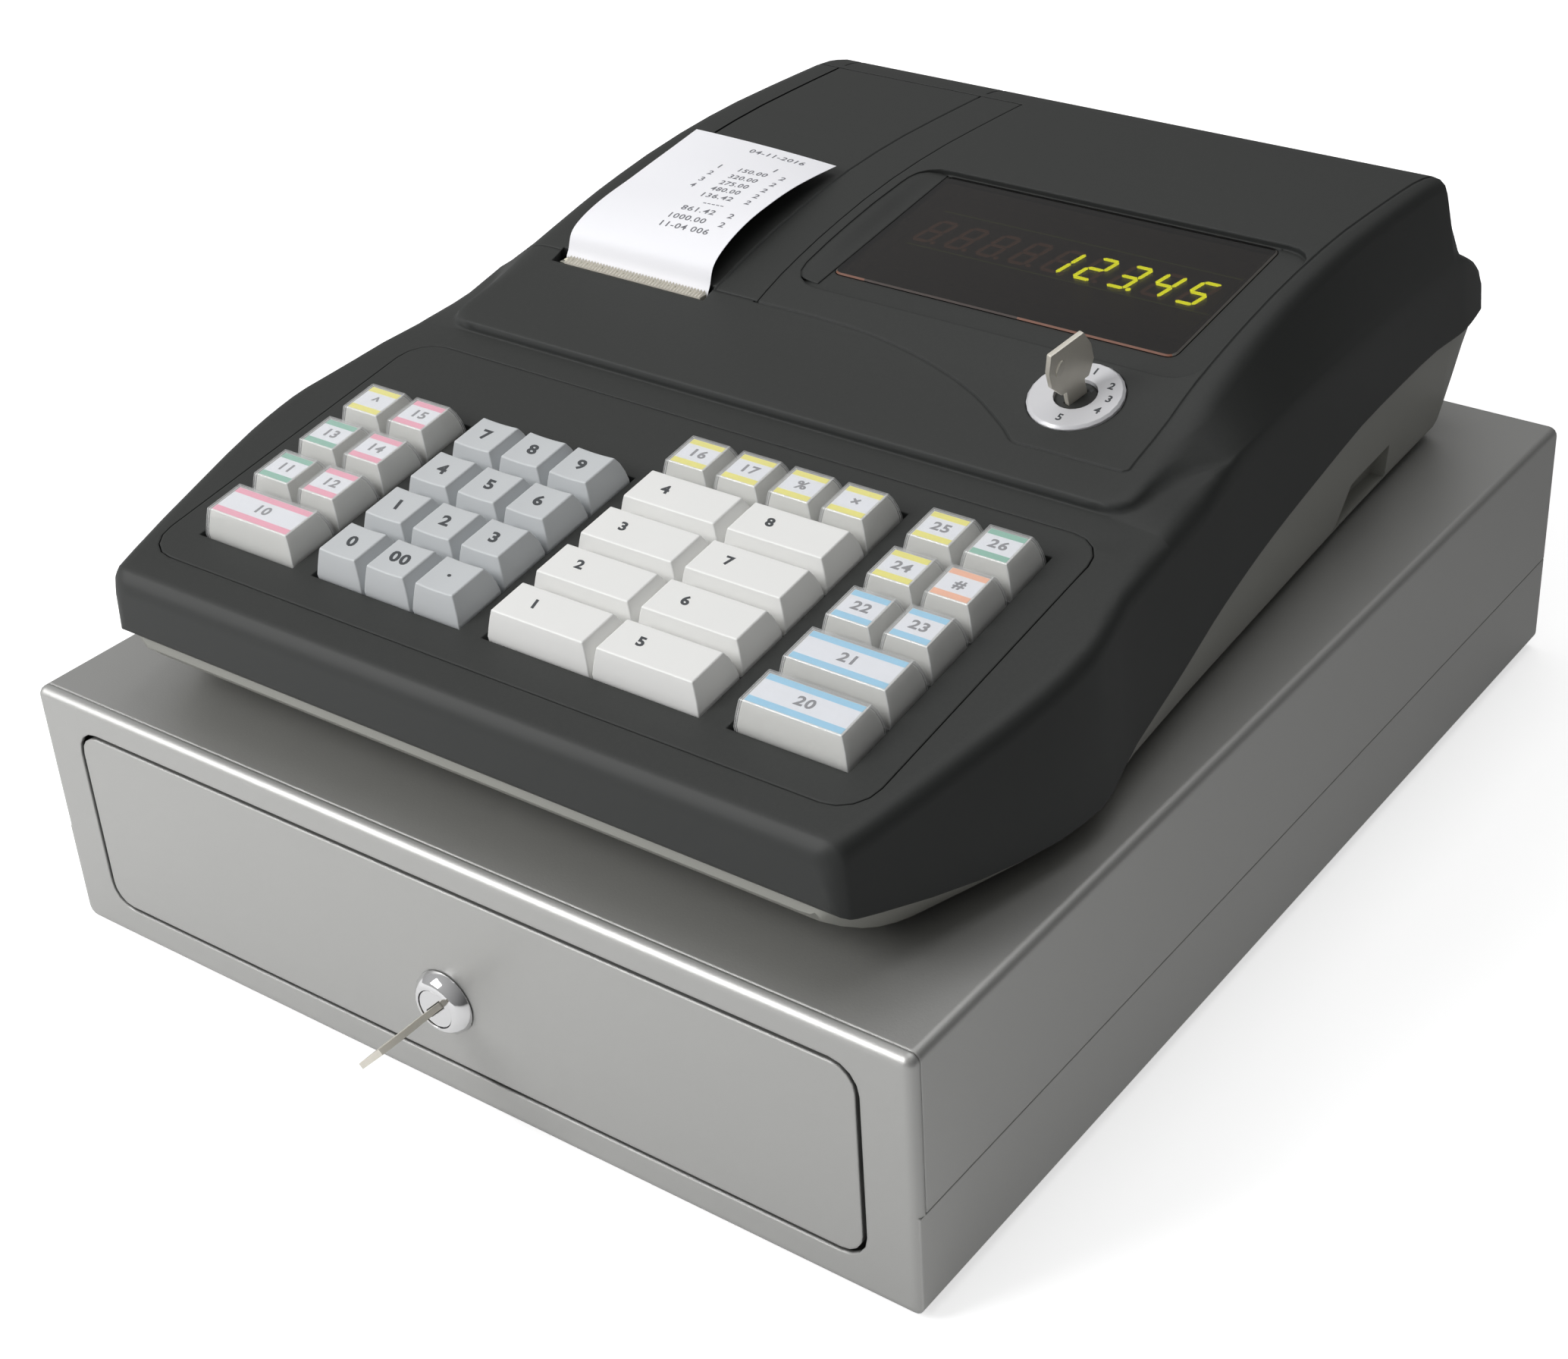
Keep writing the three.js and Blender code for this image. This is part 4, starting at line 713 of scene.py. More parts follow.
def apply_modifier(piece: bpy.types.Object, kind: str, **settings) -> None:
    """Adds a modifier with its settings and applies it."""
    modifier = piece.modifiers.new(kind.lower(), kind)
    assign(modifier, **settings)
    activate(piece)
    bpy.ops.object.modifier_apply(modifier=modifier.name)


def soften(piece: bpy.types.Object, width: float, segments: int = 3,
           angle: float = 35.0) -> None:
    """Rounds the sharp edges of a piece."""
    apply_modifier(piece, "BEVEL", width=width, segments=segments, limit_method="ANGLE",
                   angle_limit=math.radians(angle), use_clamp_overlap=True)


def smooth(piece: bpy.types.Object) -> None:
    """Shades a piece smooth, apart from its sharp edges, with its flats kept flat."""
    activate(piece)
    bpy.ops.object.shade_smooth_by_angle(angle=SMOOTH_ANGLE)
    apply_modifier(piece, "WEIGHTED_NORMAL", keep_sharp=True, weight=50)


def merged_copy(node: str, name: str) -> bpy.types.Object:
    """Copies a node of the frame as one closed mesh.

    Args:
        node: The node's name.
        name: The new piece's name.

    Returns:
        The copy, its doubles merged, its flats cleaned and its normals its own.
    """
    mesh = frame["nodes"][node].data.copy()
    mesh.name = name
    mesh.materials.clear()
    piece = linked(name, mesh)
    edit(piece)
    bpy.ops.mesh.remove_doubles(threshold=WELD)
    bpy.ops.mesh.dissolve_limited(angle_limit=FLAT_ANGLE)
    activate(piece)
    bpy.ops.mesh.customdata_custom_splitnormals_clear()
    return piece


def joined(pieces: Sequence[bpy.types.Object]) -> bpy.types.Object:
    """Joins pieces into the first one and returns it."""
    activate(*pieces)
    bpy.ops.object.join()
    deselect()
    return pieces[0]


def copied(piece: bpy.types.Object, name: str, place: Matrix) -> bpy.types.Object:
    """Copies a piece with its own mesh, placed by a matrix."""
    made = piece.copy()
    made.data = piece.data.copy()
    made.name = name
    made.data.name = name
    made.data.transform(place)
    bpy.context.scene.collection.objects.link(made)
    return made


def discard(*pieces: bpy.types.Object) -> None:
    """Deletes pieces that were only models for others."""
    for piece in pieces:
        bpy.data.objects.remove(piece)


def coat(piece: bpy.types.Object, finish: Finish) -> bpy.types.Object:
    """Gives a piece one finish all over and returns it."""
    piece.data.materials.clear()
    piece.data.materials.append(finish.material())
    return piece


@dataclass(frozen=True)
class Lettering:
    """How characters are printed: ink, height, wider strokes, thickness, lean and stretch."""

    ink: Finish
    height: float
    bold: float
    thickness: float = 0.08 * MM
    slant: float = 0.0
    wide: float = 1.0


def lettered(text: str, style: Lettering) -> bpy.types.Object:
    """Makes thin printed characters, centred on the origin and lying in XY.

    Args:
        text: The characters, only numbers and signs.
        style: How they are printed.

    Returns:
        The characters as one mesh.
    """
    deselect()
    bpy.ops.object.text_add()
    piece = bpy.context.active_object
    assign(piece.data, body=text, size=style.height / FONT_CAP_SHARE, align_x="CENTER",
           align_y="CENTER", extrude=style.thickness / 2, offset=style.bold, shear=style.slant,
           space_character=LETTER_SPACING, resolution_u=FONT_STEPS)
    activate(piece)
    bpy.ops.object.convert(target="MESH")
    piece = bpy.context.active_object
    edit(piece)
    bpy.ops.mesh.remove_doubles(threshold=WELD)
    bpy.ops.transform.resize(value=(style.wide, 1, 1), center_override=(0, 0, 0))
    deselect()
    return coat(piece, style.ink)


def landing(piece: bpy.types.Object, x: float, y: float) -> tuple[bool, Vector]:
    """Drops a line onto a piece and returns whether and where it lands."""
    hit, place, _, _ = piece.ray_cast(Vector((x, y, RAY_START)), DOWN)
    return hit, place


def curve_point(a: Vector, b: Vector, c: Vector, d: Vector, u: float) -> Vector:
    """Returns the point at a share of the smooth curve from b to c, between a and d."""
    return 0.5 * (2 * b + (c - a) * u + (2 * a - 5 * b + 4 * c - d) * u * u
                  + (3 * b - a - 3 * c + d) * u * u * u)


def cut_line(piece: bpy.types.Object, points: Sequence[tuple[float, float]]) -> None:
    """Cuts a fine groove into the top of a piece, along a line drawn in plan.

    Args:
        piece: The piece that gets the groove.
        points: The line's points seen from above, in millimetres.
    """
    plan = [Vector((x * MM, y * MM, 0)) for x, y in points]
    padded = [plan[0] * 2 - plan[1], *plan, plan[-1] * 2 - plan[-2]]
    track = []
    for i in range(1, len(padded) - 2):
        count = max(1, round((padded[i + 1] - padded[i]).length / GROOVE_STEP))
        track += [curve_point(*padded[i - 1:i + 3], k / count) for k in range(count)]
    track.append(plan[-1])
    drops = (landing(piece, point.x, point.y) for point in track)
    landed = [place for hit, place in drops if hit]
    first = (landed[0] - landed[1]).normalized() * GROOVE_STEP
    last = (landed[-1] - landed[-2]).normalized() * GROOVE_STEP
    landed = [landed[0] + first, *landed, landed[-1] + last]
    line = bpy.data.curves.new("groove", "CURVE")
    assign(line, dimensions="3D", bevel_depth=GROOVE_RADIUS, bevel_resolution=1,
           use_fill_caps=True)
    spline = line.splines.new("POLY")
    spline.points.add(len(landed) - 1)
    for target, place in zip(spline.points, landed):
        target.co = (*place, 1)
    activate(linked("groove", line))
    bpy.ops.object.convert(target="MESH")
    cutter = bpy.context.active_object
    apply_modifier(piece, "BOOLEAN", operation="DIFFERENCE", object=cutter, solver="EXACT")
    discard(cutter)


def ready(piece: bpy.types.Object, body: str, finish: Finish, *nodes: str,
          whole: bool = True) -> bpy.types.Object:
    """Finishes a piece: its look, its body and the nodes that it stands for.

    Args:
        piece: The piece, in place.
        body: The body that it moves with.
        finish: Its main finish.
        *nodes: The nodes of the frame that it stands for.
        whole: Whether the finish covers all of it.

    Returns:
        The piece.
    """
    if whole:
        coat(piece, finish)
    smooth(piece)
    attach(piece, body)
    if nodes:
        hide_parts(*nodes)
    LOG.info("%s rides on %s, %d faces", piece.name, body, len(piece.data.polygons))
    return piece


def dress(node: str, name: str, body: str, finish: Finish) -> None:
    """Stands a merged copy with one finish in for a node of the frame."""
    ready(merged_copy(node, name), body, finish, node)


def joint(name: str) -> dict:
    """Returns a joint of the frame by its name."""
    return next(found for found in frame["joints"] if found["name"] == name)


def local_box(node: str, place: Matrix) -> tuple[Vector, Vector]:
    """Returns a node's lowest and highest corners in a turned frame."""
    back = place.inverted()
    points = [back @ vertex.co for vertex in frame["nodes"][node].data.vertices]
    low = Vector([min(point[i] for point in points) for i in range(3)])
    high = Vector([max(point[i] for point in points) for i in range(3)])
    return low, high


def turned_frame(point: Sequence[float], normal: Vector) -> Matrix:
    """Returns a frame at a point that leans back about X until its Z is a normal."""
    angle = math.atan2(-normal.y, normal.z)
    return Matrix.Translation(point) @ Matrix.Rotation(angle, 4, "X")


# Sub-assemblies


@dataclass
class CashCabinet:
    """The steel cabinet that the register stands on."""

    def build(self) -> None:
        """Dresses the pan and its cover."""
        dress("cabinet_pan", "pan_pressing", "cabinet", Finishes.steel)
        dress("cabinet_cover", "cover_pressing", "cabinet", Finishes.steel)


@dataclass
class CashDrawer:
    """The drawer with its insert and note clips."""

    clips: int = 3
    panel_back: float = -181.5 * MM
    panel_middle: Point = (0.0, -182.0 * MM, 46.5 * MM)
    panel_rim: tuple = (134 * MM, 22.8 * MM)
    panel_growth: Point = (1.0032, 1.0, 1.0148)

    def build(self) -> None:
        """Dresses the drawer, its insert and its clips, with a fine gap round its front."""
        box = merged_copy("drawer_box", "drawer_pressing")
        wide, tall = self.panel_rim
        select_vertices(box, lambda p: p.y < self.panel_back
                        and (abs(p.x) > wide or abs(p.z - self.panel_middle[2]) > tall))
        bpy.ops.transform.resize(value=self.panel_growth, center_override=self.panel_middle)
        ready(box, "drawer", Finishes.steel, "drawer_box")
        dress("cash_insert", "cash_tray", "drawer", Finishes.tray)
        for number in range(1, self.clips + 1):
            dress(f"note_clip_{number}", f"clip_moulding_{number}", f"clip_{number}",
                  Finishes.clip)


@dataclass
class DrawerLock:
    """The cylinder lock in the drawer's front, with its key."""

    def build(self) -> None:
        """Dresses the bezel, the plug and the key."""
        dress("drawer_lock_bezel", "lock_bezel", "drawer", Finishes.chrome)
        dress("drawer_lock_plug", "lock_plug", "drawer_lock", Finishes.chrome)
        dress("drawer_key", "flat_key", "drawer_lock", Finishes.nickel)


@dataclass
class RegisterBody:
    """The mouldings of the register: housing, base and keyboard insert.

    Lines in plan are in millimetres.
    """

    panel_line: tuple = (
        (-31.6, 14.5), (-7.4, 14.6), (14, 13.3), (35.6, 9.2), (56.3, 2.1), (72.3, -7.1),
        (80.2, -13.0), (82.4, -13.6), (90.3, -13.4), (109.3, -13.3), (117.6, -13.2),
        (118.9, -12.0), (118.6, -5), (118.4, 17.8), (118.5, 48), (118.2, 90), (117.8, 119.6),
        (118.0, 158), (118.6, 180.7))
    rear_lines: tuple = (((-48.9, 174.6), (-48.9, 179), (-48.8, 184)),
                         ((-111.2, 174.6), (-111.3, 179), (-111.4, 184)))
    border_outside: float = -27.9 * MM
    border_inside: float = -18.8 * MM
    border_front: float = 29.5 * MM
    border_back: float = 103.3 * MM
    border_columns: int = 5
    border_rows: int = 30
    border_reach: float = 1.2 * MM
    border_drop: float = 0.3 * MM
    border_wall: float = 0.8 * MM
    undercut_top: float = 105.5 * MM
    undercut_height: float = 15.5 * MM
    undercut_depth: float = 14.0 * MM
    undercut_front: float = -148.7 * MM
    undercut_back: float = -80.5 * MM

    def build(self) -> None:
        """Dresses the mouldings and cuts the panel lines."""
        housing = merged_copy("register_housing", "housing_shell")
        for line in (self.panel_line, *self.rear_lines):
            cut_line(housing, line)
        border = self.well_border(housing)
        ready(housing, "cabinet", Finishes.shell, "register_housing")
        ready(border, "cabinet", Finishes.shell)
        base = merged_copy("register_base", "base_tray")
        self.undercut(base)
        ready(base, "cabinet", Finishes.base, "register_base")
        dress("keyboard_insert", "keyboard_plate", "cabinet", Finishes.shell)

    def well_border(self, housing: bpy.types.Object) -> bpy.types.Object:
        """Models the border that slopes from the housing's dome to the window's left edge."""
        place = DisplayPanel.frame_of_window()
        border = add_grid("well_border", self.border_columns, self.border_rows)
        for vertex in border.data.vertices:
            share = round((vertex.co.x + 0.5) * self.border_columns) / self.border_columns
            x = between(self.border_outside, self.border_inside, share)
            y = between(self.border_front, self.border_back, vertex.co.y + 0.5)
            _, top = landing(housing, self.border_outside - self.border_reach, y)
            level = (place @ Vector((0, (y - place.translation.y) / place[1][1], 0))).z
            vertex.co = (x, y, between(top.z, level, eased(share)) - self.border_drop)
        apply_modifier(border, "SOLIDIFY", thickness=self.border_wall, offset=-1.0)
        return border

    def undercut(self, base: bpy.types.Object) -> None:
        """Draws the lower front of the base back, so that it hides under the housing's lip."""
        reach = self.undercut_back - self.undercut_front
        for vertex in base.data.vertices:
            low = clamped((self.undercut_top - vertex.co.z) / self.undercut_height)
            near = clamped((self.undercut_back - vertex.co.y) / reach)
            vertex.co.y += self.undercut_depth * low * near


class Cap(Enum):
    """How a key cap is made."""

    NUMBER = "number"
    DEPARTMENT = "department"
    LABEL = "label"


CAP_FINISHES = {Cap.NUMBER: Finishes.number_cap, Cap.DEPARTMENT: Finishes.pale_cap,
                Cap.LABEL: Finishes.label_cap}
CAP_LETTERINGS = {
    Cap.NUMBER: Lettering(Finishes.digit, 4.2 * MM, 0.22 * MM, slant=-0.2, wide=1.15),
    Cap.DEPARTMENT: Lettering(Finishes.digit, 3.5 * MM, 0.18 * MM, slant=-0.2, wide=1.15),
    Cap.LABEL: Lettering(Finishes.legend, 3.5 * MM, 0.15 * MM, wide=1.15)}


@dataclass(frozen=True)
class Key:
    """One key: its node's name without the prefix, its cap, its legend and its bar."""

    name: str
    cap: Cap
    legend: str
    bar: Optional[Ink] = None


@dataclass
class Keyboard:
    """All the keys, in the tilted frame of the deck."""

    slope: float = 0.16
    origin: Point = (0.0, -182.75 * MM, 129.2 * MM)
    rise: float = 8.5 * MM
    skirt: float = 3.0 * MM
    side_inset: float = 1.9 * MM
    front_inset: float = 2.1 * MM
    back_inset: float = 2.2 * MM
    slopes: tuple = ((0.35, 0.27, 0.35, 0.12), (0.7, 0.62, 0.7, 0.45), (1.0, 1.0, 1.0, 1.0))
    dish: float = 0.35 * MM
    dish_columns: tuple = (-0.66, -0.33, 0.0, 0.33, 0.66)
    edge: float = 0.45 * MM
    wall: float = 1.3 * MM
    cavity: float = 8.0 * MM
    cavity_draft: Point = (0.8, 0.8, 1)
    cover_gap: float = 0.65 * MM
    cover_wall: float = 0.45 * MM
    label_margin: float = 0.35 * MM
    label_thickness: float = 0.12 * MM
    bar_depth: float = 2.2 * MM
    department_shift: float = 0.4 * MM
    department_legend_share: float = 0.33
    models: dict = field(default_factory=dict)

    keys: tuple = (
        *(Key(f"digit_{n}", Cap.NUMBER, str(n)) for n in range(10)),
        Key("digit_00", Cap.NUMBER, "00"),
        Key("point", Cap.NUMBER, "·"),
        *(Key(f"dept_{n}", Cap.DEPARTMENT, str(n)) for n in range(1, 9)),
        *(Key(name, Cap.LABEL, legend, ink) for name, legend, ink in (
            ("clear", "10", Ink.PINK), ("paid_out", "11", Ink.GREEN), ("void", "12", Ink.PINK),
            ("received", "13", Ink.GREEN), ("return", "14", Ink.PINK),
            ("feed", "^", Ink.YELLOW), ("correct", "15", Ink.PINK),
            ("lookup", "16", Ink.YELLOW), ("clerk", "17", Ink.YELLOW),
            ("percent", "%", Ink.YELLOW), ("multiply", "×", Ink.YELLOW),
            ("cash", "20", Ink.BLUE), ("subtotal", "21", Ink.BLUE), ("cheque", "22", Ink.BLUE),
            ("card", "23", Ink.BLUE), ("receipt_issue", "24", Ink.YELLOW),
            ("number", "#", Ink.ORANGE), ("receipt_switch", "25", Ink.YELLOW),
            ("currency", "26", Ink.GREEN))))

    def build(self) -> None:
        """Builds every key where its node is."""
        lean = Matrix.Rotation(math.atan(self.slope), 4, "X")
        deck = Matrix.Translation(self.origin) @ lean
        for key in self.keys:
            self.build_key(key, deck)
        discard(*self.models.values())

    def shape(self, name: str, width: float, depth: float, shrink: float,
              dished: bool) -> bpy.types.Object:
        """Shapes the outside of a cap: a box with sloped and bulging sides.

        Args:
            name: The model's name.
            width: The key's width at its foot.
            depth: The key's depth at its foot.
            shrink: How far the model stays inside the key's outside.
            dished: Whether its top is hollowed for a fingertip.

        Returns:
            The model, its Z 0 on the deck.
        """
        top = self.rise - shrink
        half_width, half_depth = width / 2 - shrink, depth / 2 - shrink
        piece = add_box(name, (-half_width, -half_depth, -self.skirt),
                        (half_width, half_depth, top))
        slice_at(piece, [0.0] + [share * top for share, *_ in self.slopes[:-1]], 2)
        for share, side, front, back in self.slopes:
            level = share * top
            for test, offset in (
                    (lambda p: p.x > 0, (-side * self.side_inset, 0, 0)),
                    (lambda p: p.x < 0, (side * self.side_inset, 0, 0)),
                    (lambda p: p.y < 0, (0, front * self.front_inset, 0)),
                    (lambda p: p.y > 0, (0, -back * self.back_inset, 0))):
                push(piece, lambda p, t=test, z=level: abs(p.z - z) < WELD and t(p), offset)
        if dished:
            half_top = half_width - self.side_inset
            slice_at(piece, [share * half_top for share in self.dish_columns], 0)
            for share in self.dish_columns:
                drop = self.dish * (1 - share * share)
                push(piece, lambda p, x=share * half_top: abs(p.z - top) < WELD
                     and abs(p.x - x) < WELD, (0, 0, -drop))
        return piece

    def hollow(self, piece: bpy.types.Object) -> None:
        """Hollows a cap from below."""
        bottom = -self.skirt
        select_faces(piece, lambda face: face.normal.z < FACES_DOWN
                     and abs(face.center.z - bottom) < WELD)
        bpy.ops.mesh.dissolve_limited(angle_limit=FLAT_ANGLE)
        bpy.ops.mesh.inset(thickness=self.wall, depth=0)
        bpy.ops.mesh.extrude_region_move(TRANSFORM_OT_translate={"value": (0, 0, self.cavity)})
        bpy.ops.transform.resize(value=self.cavity_draft,
                                 center_override=(0, 0, bottom + self.cavity))
        deselect()

    def cap_model(self, cap: Cap, width: float, depth: float) -> bpy.types.Object:
        """Returns the finished cap that copies are made from, for a kind and size of key."""
        name = f"{cap.value}_{round(width / MM)}"
        if name not in self.models:
            shrink = self.cover_gap if cap is Cap.LABEL else 0.0
            dished = cap is not Cap.LABEL and width < 2 * depth - self.wall
            piece = self.shape(name, width, depth, shrink, dished)
            soften(piece, self.edge)
            self.hollow(piece)
            self.models[name] = coat(piece, CAP_FINISHES[cap])
        return self.models[name]

    def cover_model(self, width: float, depth: float) -> bpy.types.Object:
        """Returns the clear cover that copies are made from, for a size of key."""
        name = f"cover_{round(width / MM)}"
        if name not in self.models:
            piece = self.shape(name, width, depth, 0.0, False)
            soften(piece, self.edge)
            select_faces(piece, lambda face: face.normal.z < FACES_DOWN and face.center.z < 0)
            bpy.ops.mesh.delete(type="FACE")
            deselect()
            apply_modifier(piece, "SOLIDIFY", thickness=self.cover_wall, offset=-1.0,
                           use_even_offset=True)
            self.models[name] = coat(piece, Finishes.cover)
        return self.models[name]

    def label_model(self, width: float, depth: float, ink: Ink) -> bpy.types.Object:
        """Makes a paper label with a colour bar along its rear and front edges."""
        top = self.rise - self.cover_gap
        half_width = width / 2 - self.side_inset - self.cover_gap - self.label_margin
        front = -depth / 2 + self.front_inset + self.cover_gap + self.label_margin
        back = depth / 2 - self.back_inset - self.cover_gap - self.label_margin
        piece = add_box("label", (-half_width, front, top - self.label_thickness / 2),
                        (half_width, back, top + self.label_thickness / 2))
        slice_at(piece, [front + self.bar_depth, back - self.bar_depth], 1)
        coat(piece, Finishes.label)
        piece.data.materials.append(Finishes.bar(ink).material())
        for face in piece.data.polygons:
            inside = front + self.bar_depth < face.center.y < back - self.bar_depth
            face.material_index = 0 if inside else 1
        return piece

    def legend(self, key: Key, width: float) -> bpy.types.Object:
        """Prints a key's legend and lays it on the cap."""
        legend = lettered(key.legend, CAP_LETTERINGS[key.cap])
        level, shift = self.rise, 0.0
        middle = (self.front_inset - self.back_inset) / 2
        if key.cap is Cap.NUMBER:
            level -= self.dish
            half_top = width / 2 - self.side_inset
            for vertex in legend.data.vertices:
                vertex.co.z += self.dish * (vertex.co.x / half_top) ** 2
        elif key.cap is Cap.DEPARTMENT:
            shift = (self.department_legend_share - 0.5) * width
            middle += self.department_shift
        else:
            level += self.label_thickness / 2 - self.cover_gap
        legend.data.transform(Matrix.Translation((shift, middle, level)))
        return legend

    def build_key(self, key: Key, deck: Matrix) -> None:
        """Builds one key with its legend, label and cover."""
        node = f"key_{key.name}"
        low, high = local_box(node, deck)
        width, depth = high.x - low.x, high.y - low.y
        place = deck @ Matrix.Translation(((low.x + high.x) / 2, (low.y + high.y) / 2, 0))
        model = self.cap_model(key.cap, width, depth)
        parts = [copied(model, f"cap_{key.name}", Matrix.Identity(4))]
        if key.cap is Cap.LABEL:
            parts.append(self.label_model(width, depth, key.bar))
        piece = joined([*parts, self.legend(key, width)])
        piece.data.transform(place)
        ready(piece, node, CAP_FINISHES[key.cap], node, whole=False)
        if key.cap is Cap.LABEL:
            cover = copied(self.cover_model(width, depth), f"cover_{key.name}", place)
            ready(cover, node, Finishes.cover)


LIT_SEGMENTS = {"0": "abcdef", "1": "bc", "2": "abdeg", "3": "abcdg", "4": "bcfg",
                "5": "acdfg", "6": "acdefg", "7": "abc", "8": "abcdefg", "9": "abcdfg"}


@dataclass
class DisplayPanel:
    """The smoked window with the number display below it.

    A gap, a run and a drop place the sill. Limits are those of a face's normal.
    """

    cells: int = 9
    first_cell: float = -5.1 * MM
    pitch: float = 12.1 * MM
    digit_width: float = 7.1 * MM
    digit_height: float = 14.2 * MM
    digit_front: float = 31.4 * MM
    stroke: float = 1.25 * MM
    gap: float = 0.25 * MM
    slant: float = 0.25
    thickness: float = 0.3 * MM
    dot_sides: int = 12
    dot_radius: float = 0.775 * MM
    dot_shift: float = 1.875 * MM
    depth_below: float = 2.6 * MM
    reading: str = "123.45"
    window_edge: float = 0.5 * MM
    window_edge_angle: float = 50.0
    front_dim: tuple = (0.1, 0.56)
    rear_limits: tuple = (0.6, 0.5)
    edge_limits: tuple = (0.3, 0.95)
    side_limit: float = 0.5
    sill: Point = (0.3 * MM, 1.3 * MM, 3.0 * MM)
    sill_clearance: float = 0.03 * MM
    sill_edge: float = 0.2 * MM
    glass_inset: float = 5.2 * MM
    glass_front: float = 14 * MM
    glass_back: float = 56 * MM
    glass_thickness: float = 1.2 * MM
    glass_edge: float = 0.4 * MM
    line_left: float = 5 * MM
    line_front: float = 2.2 * MM
    line_back: float = 5.6 * MM
    line_width: float = 0.3 * MM
    line_end_width: float = 0.5 * MM
    line_height: float = 0.2 * MM
    line_edge: float = 0.04 * MM

    def build(self) -> None:
        """Builds the window, the glass plate, the sill and the segments."""
        self.build_window()
        place = self.frame_of_window()
        low, high = local_box("display_window", place)
        level = low.z - self.depth_below
        self.glass(place, low, high, level)
        gap, run, drop = self.sill
        sill = add_box("window_sill", (low.x - gap, high.y + self.sill_clearance, high.z - drop),
                       (high.x + gap, high.y + run, high.z - gap))
        soften(sill, self.sill_edge, 2)
        sill.data.transform(place)
        ready(sill, "cabinet", Finishes.shell)
        self.segments(place, level + self.thickness)

    def build_window(self) -> None:
        """Builds the smoked window, with a painted glint on its front edge, painted highlights on
        its side edges and painted shade on its rear faces.
        """
        low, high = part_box("display_window")
        cuts = [between(low.x, high.x, share) for share in self.front_dim]
        window = merged_copy("display_window", "window_sheet")
        soften(window, self.window_edge, 1, self.window_edge_angle)
        slice_at(window, cuts, 0)
        looks = (Finishes.window, Finishes.window_front, Finishes.window_rim,
                 Finishes.window_front_dim, Finishes.glass)
        coat(window, looks[0])
        for look in looks[1:]:
            window.data.materials.append(look.material())
        for face in window.data.polygons:
            face.material_index = looks.index(self.look_of(face, *cuts))
        ready(window, "cabinet", Finishes.window, "display_window", whole=False)

    def look_of(self, face: bpy.types.MeshPolygon, glint_dim_left: float, glint_dim_right: float) -> Finish:
        """Returns a window face's finish: smoked on top, with painted glints and highlights at the
        edges and painted shade behind.
        """
        rear, upright = self.rear_limits
        steep, flat = self.edge_limits
        # The window's rear faces take the near-black glass colour as painted shade.
        if face.normal.y > rear and face.normal.z < upright:
            return Finishes.glass
        # Front edge faces get the painted glint, dimmer between the cuts; side edges get the
        # painted highlight.
        if steep < face.normal.z < flat and face.normal.y < -self.side_limit:
            dim = glint_dim_left < face.center.x < glint_dim_right
            return Finishes.window_front_dim if dim else Finishes.window_front
        if steep < face.normal.z < flat and abs(face.normal.x) > self.side_limit:
            return Finishes.window_rim
        return Finishes.window

    @staticmethod
    def frame_of_window() -> Matrix:
        """Returns the tilted frame of the window: its largest face up, its front at Y 0."""
        mesh = frame["nodes"]["display_window"].data
        faces = (face for face in mesh.polygons if face.normal.z > 0)
        upper = max(faces, key=lambda face: face.area)
        place = turned_frame((0, 0, 0), upper.normal)
        low, high = local_box("display_window", place)
        return place @ Matrix.Translation((0, low.y, high.z))

    def glass(self, place: Matrix, low: Vector, high: Vector, level: float) -> None:
        """Builds the dark glass plate with its faint frame lines."""
        plate = add_box("display_glass",
                        (low.x + self.glass_inset, self.glass_front, level - self.glass_thickness),
                        (high.x - self.glass_inset, self.glass_back, level))
        soften(plate, self.glass_edge, 2)
        plate.data.transform(place)
        ready(plate, "cabinet", Finishes.glass)
        left, right = self.first_cell - self.line_left, self.first_cell + self.cells * self.pitch
        front, back = self.digit_front, self.digit_front + self.digit_height
        top = level + self.line_height
        lines = joined([
            add_box("line", (x0, y0, level), (x1, y1, top)) for x0, y0, x1, y1 in (
                (left, front - self.line_front, right, front - self.line_front + self.line_width),
                (left, back + self.line_back, right, back + self.line_back + self.line_width),
                (right, front - self.line_front, right + self.line_end_width, back))])
        lines.name = "display_frame_lines"
        soften(lines, self.line_edge, 1)
        lines.data.transform(place)
        ready(lines, "cabinet", Finishes.frame_line)

    def bar_model(self, length: float) -> bpy.types.Object:
        """Models one segment along X: a flat bar with pointed ends."""
        half = self.stroke / 2
        piece = add_box("segment", (-length / 2, -half, 0), (length / 2, half, self.thickness))
        slice_at(piece, [0.0], 1)
        for side in (-1, 1):
            push(piece, lambda p, s=side: p.x * s > 0 and abs(p.y) > half / 2,
                 (-side * half, 0, 0))
        return piece

